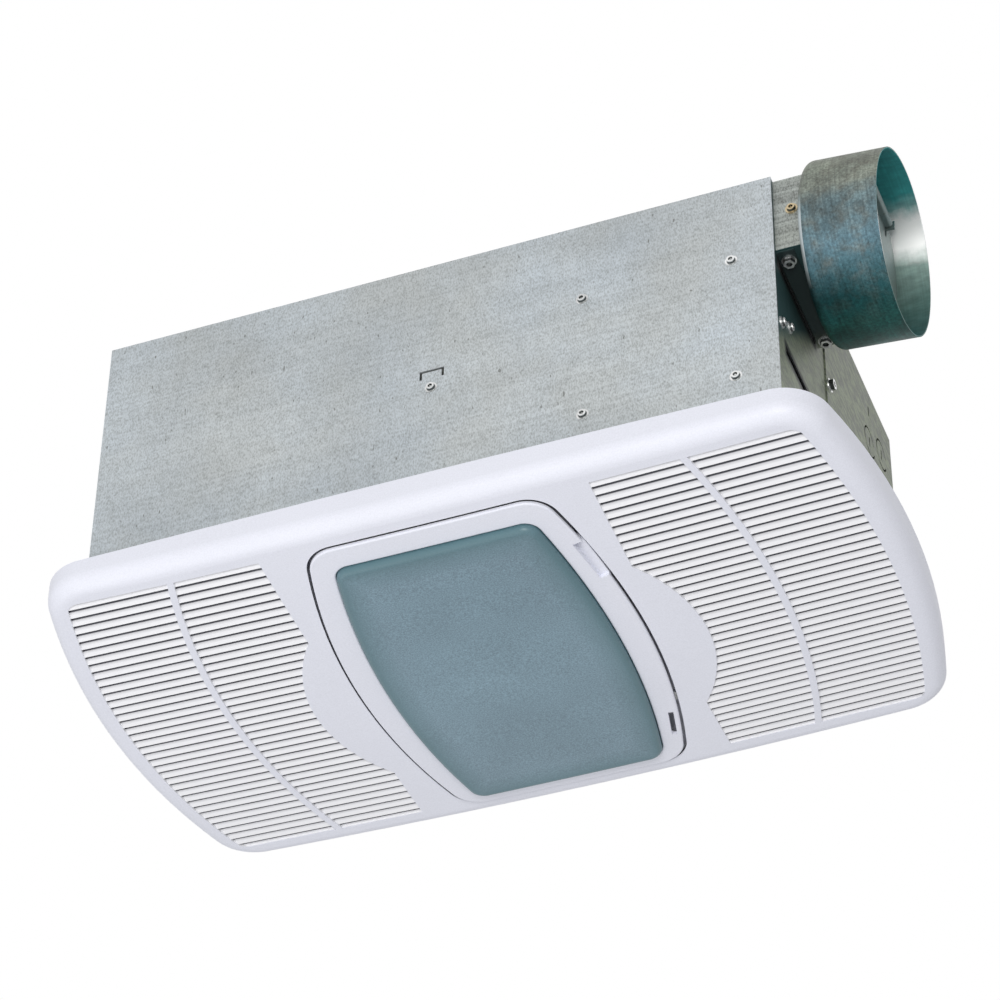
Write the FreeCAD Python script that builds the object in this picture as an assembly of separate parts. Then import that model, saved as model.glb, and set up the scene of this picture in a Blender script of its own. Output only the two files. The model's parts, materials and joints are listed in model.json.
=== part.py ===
import FreeCAD, Part
import os
from math import atan, cos, degrees, pi, radians, sin, sqrt, tan

# Ceiling exhaust fan with a light and a heater, in millimetres.
# The origin is the middle of the housing's footprint in the ceiling plane.
# +X runs toward the duct, -Y is the side with the long plain wall, +Z runs up into the ceiling.

# Housing
HOUSING_LENGTH = 372.0
HOUSING_DEPTH = 213.0
HOUSING_HEIGHT = 163.0
SHEET = 0.8
END_FLANGE = 10.0
PARTITION_LEFT = -62.0
PARTITION_RIGHT = 50.0
PARTITION_FOOT = 6.0
SCREW_R = 1.9
SCREW_CLEARANCE = 0.1
SCREW_HOLE_R = SCREW_R + SCREW_CLEARANCE

# Grille and lens door
GRILLE_LENGTH = 442.0
GRILLE_DEPTH = 248.0
GRILLE_END_BOW = 18.5
GRILLE_SIDE_BOW = 1.5
GRILLE_CORNER_R = 26.0
RIM_HEIGHT = 15.5
RIM_EDGE_R = 9.0
CROWN_DEPTH = 4.0
CROWN_LENGTH = 4.0
GRILLE_WALL = 2.5
DOOR_HALF_WIDTH = 78.5
DOOR_END_HALF_WIDTH = 61.5
DOOR_HALF_LENGTH = 109.8
DOOR_Y = 1.2
DOOR_CORNER_R = 16.0
DOOR_GAP = 1.4
DOOR_PROUD = 1.5
DOOR_WALL = 2.5
DOOR_EDGE_R = 0.9
LENS_HALF_WIDTH = 64.0
LENS_END_HALF_WIDTH = 53.0
LENS_HALF_LENGTH = 99.2
LENS_Y = 4.0
LENS_CORNER_R = 9.0
LENS_WALL = 1.2
LENS_PROUD = 3.8
LENS_EDGE_R = 3.4
LENS_LAP = 4.0
FIELD_HALF_DEPTH = 110.0
FIELD_INNER_X = 87.5
FIELD_BULGE = 20.0
FIELD_BULGE_HALF = 58.0
FIELD_BULGE_Y = 12.0
FIELD_CORNER_R = 7.0
FIELD_OUTER_MARGIN = 12.5
RIB_X = 149.0
RIB_WIDTH = 3.6
RIB_BOW = 15.0
LOUVRE_PITCH = 5.9
LOUVRE_SLOT = 2.4
LOUVRE_STEP = 1.9
LOUVRE_SINK = 0.3
LOUVRE_LEAN = 30.0
LEDGE_WIDTH = 9.0
LEDGE_TOP = -8.0
HINGE_BACK = 7.0
HINGE_ARM_Y = 30.0
HINGE_ARM_WIDTH = 8.0
HINGE_PIN_R = 1.5
HINGE_KNUCKLE_WALL = 1.5
HINGE_FLOOR_GAP = 0.8

# Duct outlet
NECK_LENGTH = 15.5
NECK_WIDTH = 75.0
NECK_HEIGHT = 50.0
NECK_FRONT_SETBACK = 3.0
NECK_TOP_DROP = 1.2
NECK_TAB = 9.0
COLLAR_RISE = 1.2
COLLAR_R = 49.3
COLLAR_LENGTH = 42.0
COLLAR_TILT = 5.5
COLLAR_EDGE_R = 4.0
FLAP_R = 44.5
FLAP_WALL = 1.2
FLAP_DEPTH = 18.0
FLAP_PIN_R = 1.0
FLAP_PIN_HEIGHT = 34.0
SEAT_HOLE_R = 42.0
RUNNING_FIT = 0.05

# Blower and heater
BLOWER_X = 123.5
BLOWER_Z = 69.5
BLOWER_SCREW_PITCH = 80.0
SCROLL_WIDTH = 78.0
SCROLL_WALL = 1.0
SCROLL_FIRST_R = 55.5
SCROLL_GROWTH = 8.0
WHEEL_R = 49.0
WHEEL_BLADES = 28
INLET_R = 42.0
HEATER_X = -124.0
HEATER_FAN_R = 46.0
HEATER_FAN_BLADES = 5
HEATER_TOP = 76.0
ELEMENT_R = 4.0
ELEMENT_PASSES = 6
ELEMENT_PITCH = 17.0
SHAFT_R = 3.0
MOTOR_WIDTH = 54.0
MOTOR_STACK = 18.0
ROTOR_R = 13.0
ROTOR_GAP = 0.5
CORE_BACK = 24.3
CORE_FRONT = 40.5
CORE_LEG_WIDTH = 15.0
CORE_WINDOW_WIDTH = 34.6
CORE_WINDOW_Y = (19.6, 32.4)
COIL_WIDTH = 32.4
COIL_HEIGHT = 32.4
COIL_FIT = 0.3
BEARING_RISE = 9.0
BEARING_WALL = 2.0
BEARING_WIDTH = 12.0
BEARING_FOOT = 3.0
BEARING_BOSS_WALL = 3.0
BEARING_BOSS_LENGTH = 8.0

# Lamp
REFLECTOR_TOP = 88.0
REFLECTOR_HALF_LENGTH = 94.0
LAMP_Z = 52.0
BULB_R = 26.0
BULB_NECK_R = 12.5
BULB_SHOULDER = 42.0

V = FreeCAD.Vector
X_AXIS = V(1, 0, 0)
Y_AXIS = V(0, 1, 0)
Z_AXIS = V(0, 0, 1)
ORIGIN = V(0, 0, 0)
END_X = HOUSING_LENGTH / 2
WALL_Y = HOUSING_DEPTH / 2
TOP_Z = HOUSING_HEIGHT
LAMP_X = (PARTITION_LEFT + PARTITION_RIGHT) / 2
NECK_Y = -WALL_Y + NECK_FRONT_SETBACK + NECK_WIDTH / 2
NECK_Z = TOP_Z - NECK_TOP_DROP - NECK_HEIGHT / 2
COLLAR_ORIGIN = V(END_X + NECK_LENGTH, NECK_Y, NECK_Z + COLLAR_RISE)
parts = {}


def box(x0, x1, y0, y1, z0, z1):
    return Part.makeBox(x1 - x0, y1 - y0, z1 - z0, V(x0, y0, z0))


def rod(radius, start, end):
    start, end = V(*start), V(*end)
    return Part.makeCylinder(radius, (end - start).Length, start, end - start)


def y_rod(radius, x, z, y0, y1):
    return rod(radius, (x, y0, z), (x, y1, z))


def z_rod(radius, x, y, z0, z1):
    return rod(radius, (x, y, z0), (x, y, z1))


def fuse(shapes):
    return shapes[0].multiFuse(shapes[1:]).removeSplitter() if len(shapes) > 1 else shapes[0]


def arc(a, b, c):
    return Part.Arc(V(*a), V(*b), V(*c)).toShape()


def line(a, b):
    return Part.makeLine(V(*a), V(*b))


def turned(shape, count):
    """Copies of a shape spread evenly about the Z axis."""
    copies = []
    for i in range(count):
        copy = shape.copy()
        copy.rotate(ORIGIN, Z_AXIS, 360.0 * i / count)
        copies.append(copy)
    return copies


def corner_edges(shape):
    """The four upright straight edges of a prism."""
    found = []
    for edge in shape.Edges:
        first, last = edge.Vertexes[0].Point, edge.Vertexes[-1].Point
        if abs(first.x - last.x) < 1e-6 and abs(first.y - last.y) < 1e-6:
            found.append(edge)
    return found


def bowed_prism(half_x, end_half_x, half_y, corner_r, z0, z1, side_bow=0.0):
    """A four-sided prism whose X ends are arcs and whose corners are rounded."""
    side_y = half_y - side_bow
    edges = [
        arc((end_half_x, -side_y, z0), (half_x, 0, z0), (end_half_x, side_y, z0)),
        arc((end_half_x, side_y, z0), (0, half_y, z0), (-end_half_x, side_y, z0)) if side_bow
        else line((end_half_x, side_y, z0), (-end_half_x, side_y, z0)),
        arc((-end_half_x, side_y, z0), (-half_x, 0, z0), (-end_half_x, -side_y, z0)),
        arc((-end_half_x, -side_y, z0), (0, -half_y, z0), (end_half_x, -side_y, z0)) if side_bow
        else line((-end_half_x, -side_y, z0), (end_half_x, -side_y, z0)),
    ]
    solid = Part.Face(Part.Wire(edges)).extrude(V(0, 0, z1 - z0))
    return solid.makeFillet(corner_r, corner_edges(solid))


def crown_radius(half, rise):
    return (half * half + rise * rise) / (2 * rise)


def underside(x, y):
    """Height of the grille's crowned underside at a place in plan."""
    along = CROWN_LENGTH * (1 - (2 * x / GRILLE_LENGTH) ** 2)
    across = CROWN_DEPTH * (1 - (2 * y / GRILLE_DEPTH) ** 2)
    return -RIM_HEIGHT - along - across


BELOW_ALL = underside(0, 0) - 20
CROWN_REACH = GRILLE_LENGTH / 2 + 20


def crown_block(raised):
    """Everything above the crowned underside, raised by a wall."""
    reach = CROWN_REACH
    across_r = crown_radius(GRILLE_DEPTH / 2, CROWN_DEPTH)
    along_r = crown_radius(GRILLE_LENGTH / 2, CROWN_LENGTH)
    low = underside(0, 0) + raised
    sag = along_r - sqrt(along_r ** 2 - reach ** 2)
    lid = 60.0
    edges = [
        arc((-reach, 0, low + sag), (0, 0, low), (reach, 0, low + sag)),
        line((reach, 0, low + sag), (reach, 0, lid)),
        line((reach, 0, lid), (-reach, 0, lid)),
        line((-reach, 0, lid), (-reach, 0, low + sag)),
    ]
    face = Part.Face(Part.Wire(edges))
    sweep = 2 * GRILLE_DEPTH / across_r * 180 / pi
    axis_point = V(0, 0, low + across_r)
    face.rotate(axis_point, X_AXIS, -sweep / 2)
    return face.revolve(axis_point, X_AXIS, sweep)


def grille_tray(inset, raised, edge_r):
    half_x = GRILLE_LENGTH / 2 - inset
    half_y = GRILLE_DEPTH / 2 - inset
    end_half_x = half_x - GRILLE_END_BOW
    body = bowed_prism(half_x, end_half_x, half_y, GRILLE_CORNER_R - inset, BELOW_ALL, 0, GRILLE_SIDE_BOW)
    body = body.common(crown_block(raised))
    rim = [e for e in body.Edges if e.BoundBox.ZMax < -RIM_HEIGHT / 2]
    return body.makeFillet(edge_r, rim)


def door_prism(grow, z0, z1):
    prism = bowed_prism(DOOR_HALF_WIDTH + grow, DOOR_END_HALF_WIDTH + grow, DOOR_HALF_LENGTH + grow,
                        DOOR_CORNER_R + grow, z0, z1)
    return prism.translated(V(0, DOOR_Y, 0))


def lens_prism(grow, z0, z1):
    prism = bowed_prism(LENS_HALF_WIDTH + grow, LENS_END_HALF_WIDTH + grow, LENS_HALF_LENGTH + grow,
                        LENS_CORNER_R + grow, z0, z1)
    return prism.translated(V(0, LENS_Y, 0))


# Grille: one moulding with two louvred fields, a door opening and a screw ledge behind the door.
FIELD_OUTER_X = GRILLE_LENGTH / 2 - FIELD_OUTER_MARGIN
FIELD_MARGIN = 1.0


def rib_prism(z0, height):
    """The curved rib that crosses a field."""
    near_x = RIB_X - RIB_BOW
    past = FIELD_HALF_DEPTH + FIELD_MARGIN
    edges = [
        arc((near_x, -past, z0), (RIB_X, 0, z0), (near_x, past, z0)),
        line((near_x, past, z0), (near_x + RIB_WIDTH, past, z0)),
        arc((near_x + RIB_WIDTH, past, z0), (RIB_X + RIB_WIDTH, 0, z0), (near_x + RIB_WIDTH, -past, z0)),
        line((near_x + RIB_WIDTH, -past, z0), (near_x, -past, z0)),
    ]
    return Part.Face(Part.Wire(edges)).extrude(V(0, 0, height))


def louvre_field(z0, z1):
    """Plan of the +X louvred field, less its curved rib: bowed outside, hollowed beside the door."""
    outer, inner, half = FIELD_OUTER_X, FIELD_INNER_X, FIELD_HALF_DEPTH
    outer_end = outer - GRILLE_END_BOW * (2 * half / GRILLE_DEPTH) ** 2
    near, far = FIELD_BULGE_Y - FIELD_BULGE_HALF, FIELD_BULGE_Y + FIELD_BULGE_HALF
    edges = [
        line((inner, -half, z0), (outer_end, -half, z0)),
        arc((outer_end, -half, z0), (outer, 0, z0), (outer_end, half, z0)),
        line((outer_end, half, z0), (inner, half, z0)),
        line((inner, half, z0), (inner, far, z0)),
        arc((inner, far, z0), (inner + FIELD_BULGE, FIELD_BULGE_Y, z0), (inner, near, z0)),
        line((inner, near, z0), (inner, -half, z0)),
    ]
    area = Part.Face(Part.Wire(edges)).extrude(V(0, 0, z1 - z0))
    outer_corners = [e for e in corner_edges(area) if e.Vertexes[0].X > RIB_X]
    area = area.makeFillet(FIELD_CORNER_R, outer_corners)
    return area.cut(rib_prism(z0, z1 - z0))


def louvre_slots():
    """Saw-toothed cut through both fields.

    Each blade slopes out toward +Y. The slot at its -Y edge leans back over the blade before it, so the slots
    hide what is behind them from a viewer on the -Y side.
    """
    lean = -tan(radians(LOUVRE_LEAN))
    through = GRILLE_WALL + CROWN_LENGTH + LOUVRE_STEP
    count = int(2 * FIELD_HALF_DEPTH / LOUVRE_PITCH) + 1
    first = -count * LOUVRE_PITCH / 2
    x0, x1 = FIELD_INNER_X - FIELD_MARGIN, FIELD_OUTER_X + FIELD_MARGIN
    teeth = []
    for i in range(count):
        y = first + i * LOUVRE_PITCH
        edge = underside(x0, y) + LOUVRE_SINK
        blade = edge + LOUVRE_STEP * (1 - LOUVRE_SLOT / LOUVRE_PITCH)
        top = edge + through
        teeth += [(y, edge), (y + lean * through, top), (y + LOUVRE_SLOT + lean * through, top),
                  (y + LOUVRE_SLOT, blade)]
    last = first + count * LOUVRE_PITCH
    below = underside(0, 0) - LOUVRE_STEP
    outline = teeth + [(last, underside(x0, last) + LOUVRE_SINK), (last, below), (first, below)]
    face = Part.Face(Part.makePolygon([V(x0, a, b) for a, b in outline + outline[:1]]))
    saw = face.extrude(V(x1 - x0, 0, underside(x1, 0) - underside(x0, 0)))
    trimmed = saw.common(louvre_field(below - FIELD_MARGIN, through))
    return [trimmed, trimmed.mirror(ORIGIN, X_AXIS)]


HINGE_X = -(DOOR_HALF_WIDTH + HINGE_BACK)
KNUCKLE_R = HINGE_PIN_R + HINGE_KNUCKLE_WALL
HINGE_Z = underside(HINGE_X, 0) + GRILLE_WALL + KNUCKLE_R + HINGE_FLOOR_GAP
SWING_GAP = 0.5
SWING_REACH = HINGE_BACK + 1
ARM_RISE = sqrt(SWING_REACH ** 2 + (HINGE_Z - underside(HINGE_X, 0)) ** 2) + SWING_GAP
ARM_WALL = 2.0
ARM_FRONT_X = HINGE_X + HINGE_BACK + 3.5
EAR_WALL = 2.0
EAR_GAP = 0.4
PIN_HALF = HINGE_ARM_WIDTH / 2 + EAR_GAP + EAR_WALL
NOTCH_FLOOR = 0.6
BOSS_ROOT = 0.5
SIDES = (-1, 1)
GRILLE_SCREW_Y = 70.0
GRILLE_BOSS_R = 4.0


def hinge_rods(radius, half):
    """Rods on the door's hinge line, one through each arm."""
    return [y_rod(radius, HINGE_X, HINGE_Z, s * HINGE_ARM_Y - half, s * HINGE_ARM_Y + half) for s in SIDES]


def door_edge_x(y):
    return DOOR_HALF_WIDTH - (DOOR_HALF_WIDTH - DOOR_END_HALF_WIDTH) * ((y - DOOR_Y) / DOOR_HALF_LENGTH) ** 2


def door_edge_turn(y):
    """Turn about Z of the door's +X edge away from the Y direction, in degrees."""
    slope = -2 * (DOOR_HALF_WIDTH - DOOR_END_HALF_WIDTH) * (y - DOOR_Y) / DOOR_HALF_LENGTH ** 2
    return -degrees(atan(slope))


def lens_edge_x(y):
    return LENS_HALF_WIDTH - (LENS_HALF_WIDTH - LENS_END_HALF_WIDTH) * ((y - LENS_Y) / LENS_HALF_LENGTH) ** 2


def ledge_x(y):
    """Middle of the screw ledge beside the door opening, on the +X side."""
    return door_edge_x(y) + DOOR_GAP - LEDGE_WIDTH / 2


GRILLE_SCREWS = [(side_x * ledge_x(side_y * GRILLE_SCREW_Y), side_y * GRILLE_SCREW_Y)
                 for side_x in SIDES for side_y in SIDES]


def grille_screw_holes(z0, z1):
    return [z_rod(SCREW_HOLE_R, x, y, z0, z1) for x, y in GRILLE_SCREWS]


def hinge_ears():
    """Two pairs of ears on the tray that hold the door's hinge pins."""
    x0, x1 = HINGE_X - KNUCKLE_R, HINGE_X + KNUCKLE_R
    z0, z1 = underside(HINGE_X, 0) + GRILLE_WALL / 2, HINGE_Z + KNUCKLE_R
    inner = HINGE_ARM_WIDTH / 2 + EAR_GAP
    ears = []
    for arm_y in (-HINGE_ARM_Y, HINGE_ARM_Y):
        ears.append(box(x0, x1, arm_y - PIN_HALF, arm_y - inner, z0, z1))
        ears.append(box(x0, x1, arm_y + inner, arm_y + PIN_HALF, z0, z1))
    return ears


def hinge_notches():
    """Room in the wall round the door opening for the door's two arms."""
    x0 = HINGE_X - KNUCKLE_R - EAR_GAP
    z0 = underside(HINGE_X, HINGE_ARM_Y) + GRILLE_WALL + NOTCH_FLOOR
    half = HINGE_ARM_WIDTH / 2 + EAR_GAP
    return [box(x0, -LENS_END_HALF_WIDTH, y - half, y + half, z0, 0) for y in (-HINGE_ARM_Y, HINGE_ARM_Y)]


def make_grille():
    tray = grille_tray(0, 0, RIM_EDGE_R).cut(grille_tray(GRILLE_WALL, GRILLE_WALL, RIM_EDGE_R - GRILLE_WALL))
    wall = door_prism(DOOR_GAP + GRILLE_WALL, BELOW_ALL, LEDGE_TOP).common(crown_block(0))
    body = tray.fuse(wall)
    body = body.cut(door_prism(DOOR_GAP, BELOW_ALL, LEDGE_TOP - GRILLE_WALL))
    body = body.cut(door_prism(DOOR_GAP - LEDGE_WIDTH, BELOW_ALL, 0))
    body = body.cut(hinge_notches())
    bosses = [z_rod(GRILLE_BOSS_R, x, y, LEDGE_TOP - BOSS_ROOT, PARTITION_FOOT) for x, y in GRILLE_SCREWS]
    body = body.multiFuse(bosses + hinge_ears())
    body = body.cut(grille_screw_holes(BELOW_ALL, PARTITION_FOOT + SHEET))
    body = body.cut(hinge_rods(HINGE_PIN_R, PIN_HALF + EAR_GAP))
    return body.cut(louvre_slots())


GRILLE_SCREW_HEAD = 2.0
GRILLE_SCREW_END = PARTITION_FOOT + SHEET + 4


def make_grille_screw(x, y):
    seat = LEDGE_TOP - GRILLE_WALL
    shank = z_rod(SCREW_R, x, y, seat, GRILLE_SCREW_END)
    return fuse([shank, z_rod(2 * SCREW_R, x, y, seat - GRILLE_SCREW_HEAD, seat)])


parts["grille"] = make_grille()
parts["grille_screws"] = Part.makeCompound([make_grille_screw(x, y) for x, y in GRILLE_SCREWS])


# Lens door: a crowned frame with a finger pull, carried by two curled arms on its -X side.
PULL_Y = -60.0
PULL_LENGTH = 28.0
PULL_WIDTH = 5.1
PULL_DEPTH = 4.2
PULL_FALL = 2.4
PULL_WALL = 1.5
LATCH_Y = 80.0
LATCH_LENGTH = 19.5
LATCH_WIDTH = 2.8
LATCH_INSET = 2.6
DOOR_BACK = DOOR_WALL - DOOR_PROUD


def face_edges(shape, raised):
    """Edges that lie in the crowned surface at a height above the grille's underside."""
    found = []
    for edge in shape.Edges:
        first, last = edge.ParameterRange
        points = [edge.valueAt(first + (last - first) * share) for share in (0, 0.5, 1)]
        if all(abs(p.z - underside(p.x, p.y) - raised) < 0.2 for p in points):
            found.append(edge)
    return found


def beside_door_edge(shape, y):
    """A shape drawn beside a straight edge along Y at the origin, set against the door's +X edge."""
    shape.rotate(ORIGIN, Z_AXIS, door_edge_turn(y))
    return shape.translated(V(door_edge_x(y), y, 0))


def pull_block(wall):
    """The finger pull's hollow, or the shell a wall larger: its roof falls toward the +Y end."""
    x0 = -PULL_WIDTH - wall
    y0, y1 = -PULL_LENGTH / 2 - wall, PULL_LENGTH / 2 + wall
    roof = underside(door_edge_x(PULL_Y), PULL_Y) - DOOR_PROUD + PULL_DEPTH + wall
    outline = [(y0, BELOW_ALL), (y0, roof), (y1, roof - PULL_FALL), (y1, BELOW_ALL)]
    face = Part.Face(Part.makePolygon([V(x0, y, z) for y, z in outline + outline[:1]]))
    return beside_door_edge(face.extrude(V(2 * PULL_WIDTH, 0, 0)), PULL_Y)


def pull_shell():
    return pull_block(PULL_WALL).common(door_prism(0, BELOW_ALL, 0)).common(crown_block(DOOR_BACK))


def latch_slot():
    half = LATCH_LENGTH / 2
    slot = box(-LATCH_INSET - LATCH_WIDTH, -LATCH_INSET, -half, half, BELOW_ALL, 0)
    return beside_door_edge(slot, LATCH_Y)


def make_door():
    plate = door_prism(0, BELOW_ALL, 0).common(crown_block(-DOOR_PROUD)).cut(crown_block(DOOR_BACK))
    plate = plate.cut(lens_prism(0, BELOW_ALL, 0))
    plate = plate.makeFillet(DOOR_EDGE_R, face_edges(plate, -DOOR_PROUD))
    pieces = [plate.fuse(pull_shell()).cut([pull_block(0), latch_slot()])]
    half = HINGE_ARM_WIDTH / 2
    for side in SIDES:
        y0, y1 = side * HINGE_ARM_Y - half, side * HINGE_ARM_Y + half
        foot = underside(ARM_FRONT_X, HINGE_ARM_Y) - DOOR_PROUD + DOOR_WALL / 2
        top = HINGE_Z + ARM_RISE
        pieces += [
            box(ARM_FRONT_X, ARM_FRONT_X + ARM_WALL, y0, y1, foot, top + ARM_WALL),
            box(HINGE_X - ARM_WALL / 2, ARM_FRONT_X + ARM_WALL, y0, y1, top, top + ARM_WALL),
            box(HINGE_X - ARM_WALL / 2, HINGE_X + ARM_WALL / 2, y0, y1, HINGE_Z, top + ARM_WALL),
            y_rod(KNUCKLE_R, HINGE_X, HINGE_Z, y0, y1),
        ]
    return fuse(pieces).cut(hinge_rods(HINGE_PIN_R + RUNNING_FIT, PIN_HALF))


LENS_INSET = 0.3


def lens_pan(inset, raised, edge_r):
    pan = lens_prism(-inset, BELOW_ALL, 0).common(crown_block(raised)).cut(crown_block(DOOR_BACK + LENS_WALL))
    return pan.makeFillet(edge_r, face_edges(pan, raised))


def make_lens():
    """A shallow frosted pan that stands through the door's opening, with a lip behind the frame."""
    face = -DOOR_PROUD - LENS_PROUD
    lip = lens_prism(LENS_LAP, BELOW_ALL, 0).common(crown_block(DOOR_BACK))
    lip = lip.cut(crown_block(DOOR_BACK + LENS_WALL))
    hollow = lens_pan(LENS_INSET + LENS_WALL, face + LENS_WALL, LENS_EDGE_R - LENS_WALL)
    return lens_pan(LENS_INSET, face, LENS_EDGE_R).fuse(lip).cut(hollow).removeSplitter()


parts["lens_door"] = make_door()
parts["lens"] = make_lens()
CLIP_Y = 30.0
CLIP_LENGTH = 14.0
CLIP_WALL = 1.0
CLIP_REACH = 1.0
CLIP_LEG = 4.0


def make_clip(side_y):
    """A sheet clip on the door's back that holds the lens lip, on the +X side."""
    middle = side_y * CLIP_Y
    lens_x = lens_edge_x(middle)
    x0, x1 = lens_x - CLIP_REACH, lens_x + LENS_LAP + CLIP_REACH + CLIP_LEG
    y0, y1 = middle - CLIP_LENGTH / 2, middle + CLIP_LENGTH / 2
    lip_back = DOOR_BACK + LENS_WALL
    cover = box(x0, x1, y0, y1, BELOW_ALL, 0).common(crown_block(lip_back))
    leg = box(x1 - CLIP_LEG, x1, y0, y1, BELOW_ALL, 0).common(crown_block(DOOR_BACK))
    return cover.fuse(leg).removeSplitter().cut(crown_block(lip_back + CLIP_WALL))


def make_clips():
    clips = [make_clip(side_y) for side_y in SIDES]
    return Part.makeCompound(clips + [clip.mirror(ORIGIN, X_AXIS) for clip in clips])


parts["lens_clips"] = make_clips()
parts["door_hinge_pins"] = Part.makeCompound(hinge_rods(HINGE_PIN_R, PIN_HALF))


# Housing: a bent wrap, two end pans, two partitions and a wiring corner.
TAB_X = 1.5
TAB_Z = 87.5
TAB_WIDTH = 13.5
TAB_HEIGHT = 6.0
TAB_SLOT = 1.4
TAB_ROOM = 0.6
BRACKET_SCREW_Z = 74.5
JOIST_HOLE_PITCH = 300.0
JOIST_HOLE_R = 2.5
JOIST_HOLE_Z = 40.0
HOUSING_FOOT = 0.5
BLOWER_SCREWS = [(BLOWER_X + a * BLOWER_SCREW_PITCH / 2, BLOWER_Z + b * BLOWER_SCREW_PITCH / 2)
                 for a in SIDES for b in SIDES]
BRACKET_SCREW = (TAB_X, BRACKET_SCREW_Z)
THROUGH = 6.0


def front_bores(places, depth):
    """Screw holes through the front wall at places given as X and Z."""
    return [y_rod(SCREW_HOLE_R, x, z, -WALL_Y - depth, -WALL_Y + depth) for x, z in places]


def make_wrap():
    body = box(-END_X, END_X, -WALL_Y, WALL_Y, HOUSING_FOOT, TOP_Z)
    inner = WALL_Y - SHEET
    body = body.cut(box(-END_X - THROUGH, END_X + THROUGH, -inner, inner, -THROUGH, TOP_Z - SHEET))
    bores = front_bores(BLOWER_SCREWS + [BRACKET_SCREW], THROUGH)
    x0, x1 = TAB_X - TAB_WIDTH / 2, TAB_X + TAB_WIDTH / 2
    outer_y, inner_y = -WALL_Y - SHEET, -WALL_Y + 2 * SHEET
    bores += [
        box(x0, x1, outer_y, inner_y, TAB_Z - TAB_SLOT, TAB_Z),
        box(x0, x0 + TAB_SLOT, outer_y, inner_y, TAB_Z - TAB_HEIGHT, TAB_Z),
        box(x1 - TAB_SLOT, x1, outer_y, inner_y, TAB_Z - TAB_HEIGHT, TAB_Z),
    ]
    for side in SIDES:
        x = side * JOIST_HOLE_PITCH / 2
        bores.append(y_rod(JOIST_HOLE_R, x, JOIST_HOLE_Z, WALL_Y - THROUGH, WALL_Y + THROUGH))
    return body.cut(bores)


def end_pan(side):
    """An end wall with flanges turned in along its front, back and top edges."""
    x0, x1 = sorted((side * END_X, side * (END_X - END_FLANGE)))
    body = box(x0, x1, -WALL_Y + SHEET, WALL_Y - SHEET, HOUSING_FOOT, TOP_Z - SHEET)
    a, b = sorted((side * (END_X - SHEET), side * (END_X - END_FLANGE - SHEET)))
    return body.cut(box(a, b, -WALL_Y + 2 * SHEET, WALL_Y - 2 * SHEET, -THROUGH, TOP_Z - 2 * SHEET))


NECK_Y0, NECK_Y1 = NECK_Y - NECK_WIDTH / 2, NECK_Y + NECK_WIDTH / 2
NECK_Z0, NECK_Z1 = NECK_Z - NECK_HEIGHT / 2, NECK_Z + NECK_HEIGHT / 2
PLATE_SEAM_Y = -WALL_Y + 84.0
PLATE_FOOT = 20.0
PLATE_MARGIN = 2.0
NECK_SCREW_X = END_X + NECK_TAB / 2
NECK_SCREW_Y = (NECK_Y0 + 8, NECK_Y1 - 5)
PLATE_SCREW = (PLATE_SEAM_Y + 5, TOP_Z - 68.5)
END_SCREWS = [(-WALL_Y + 6.5, 65.0), (-WALL_Y + 20.5, 74.0)]
END_SLOT_Y = (-WALL_Y + 13, -WALL_Y + 56)
END_SLOT_Z = 49.5
END_SLOT_HEIGHT = 5.5
NECK_SLOT_Y = (NECK_Y0 + 5, NECK_Y1 - 10)
NECK_SLOT_DROP = 2.0
NECK_SLOT_HEIGHT = 4.0
KNOCKOUT_R = 9.5
KNOCKOUTS = [(WALL_Y - 47, TOP_Z - 42), (WALL_Y - 23, TOP_Z - 31)]
KNOCKOUT_CUT = 1.2
KNOCKOUT_BRIDGE = 6.0
PRY_LENGTH = 7.0
PRY_WIDTH = 1.6
TIE_SLOT = (WALL_Y - 45, TOP_Z - 18)
WIRE_HOLE_MARGIN = 13.0


def end_bore(y, z, radius):
    return rod(radius, (END_X - THROUGH, y, z), (END_X + THROUGH, y, z))


def end_cut(y0, y1, z0, z1):
    """A rectangular cutter through the end wall's sheets."""
    return box(END_X - 4 * SHEET, END_X + THROUGH, y0, y1, z0, z1)


def neck_bores():
    """Upright screw holes through the tab under the neck."""
    return [z_rod(SCREW_HOLE_R, NECK_SCREW_X, y, NECK_Z0 - THROUGH, NECK_Z0 + THROUGH) for y in NECK_SCREW_Y]


def make_right_end():
    tab = box(END_X - SHEET, END_X + NECK_TAB, NECK_Y0 + SHEET, NECK_Y1 - SHEET, NECK_Z0 - SHEET, NECK_Z0)
    body = end_pan(1).fuse(tab).removeSplitter()
    opening = end_cut(NECK_Y0 + SHEET, NECK_Y1 - SHEET, NECK_Z0 + SHEET, NECK_Z1 - SHEET)
    slot = end_cut(*END_SLOT_Y, END_SLOT_Z, END_SLOT_Z + END_SLOT_HEIGHT)
    neck_slot_top = NECK_Z0 - SHEET - NECK_SLOT_DROP
    neck_slot = end_cut(*NECK_SLOT_Y, neck_slot_top - NECK_SLOT_HEIGHT, neck_slot_top)
    wires = end_cut(KNOCKOUTS[0][0] - WIRE_HOLE_MARGIN, KNOCKOUTS[1][0] + WIRE_HOLE_MARGIN,
                    KNOCKOUTS[0][1] - WIRE_HOLE_MARGIN, KNOCKOUTS[1][1] + WIRE_HOLE_MARGIN)
    bores = [end_bore(y, z, SCREW_HOLE_R) for y, z in END_SCREWS + [PLATE_SCREW]]
    return body.cut([opening, slot, neck_slot, wires] + bores + neck_bores())


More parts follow.
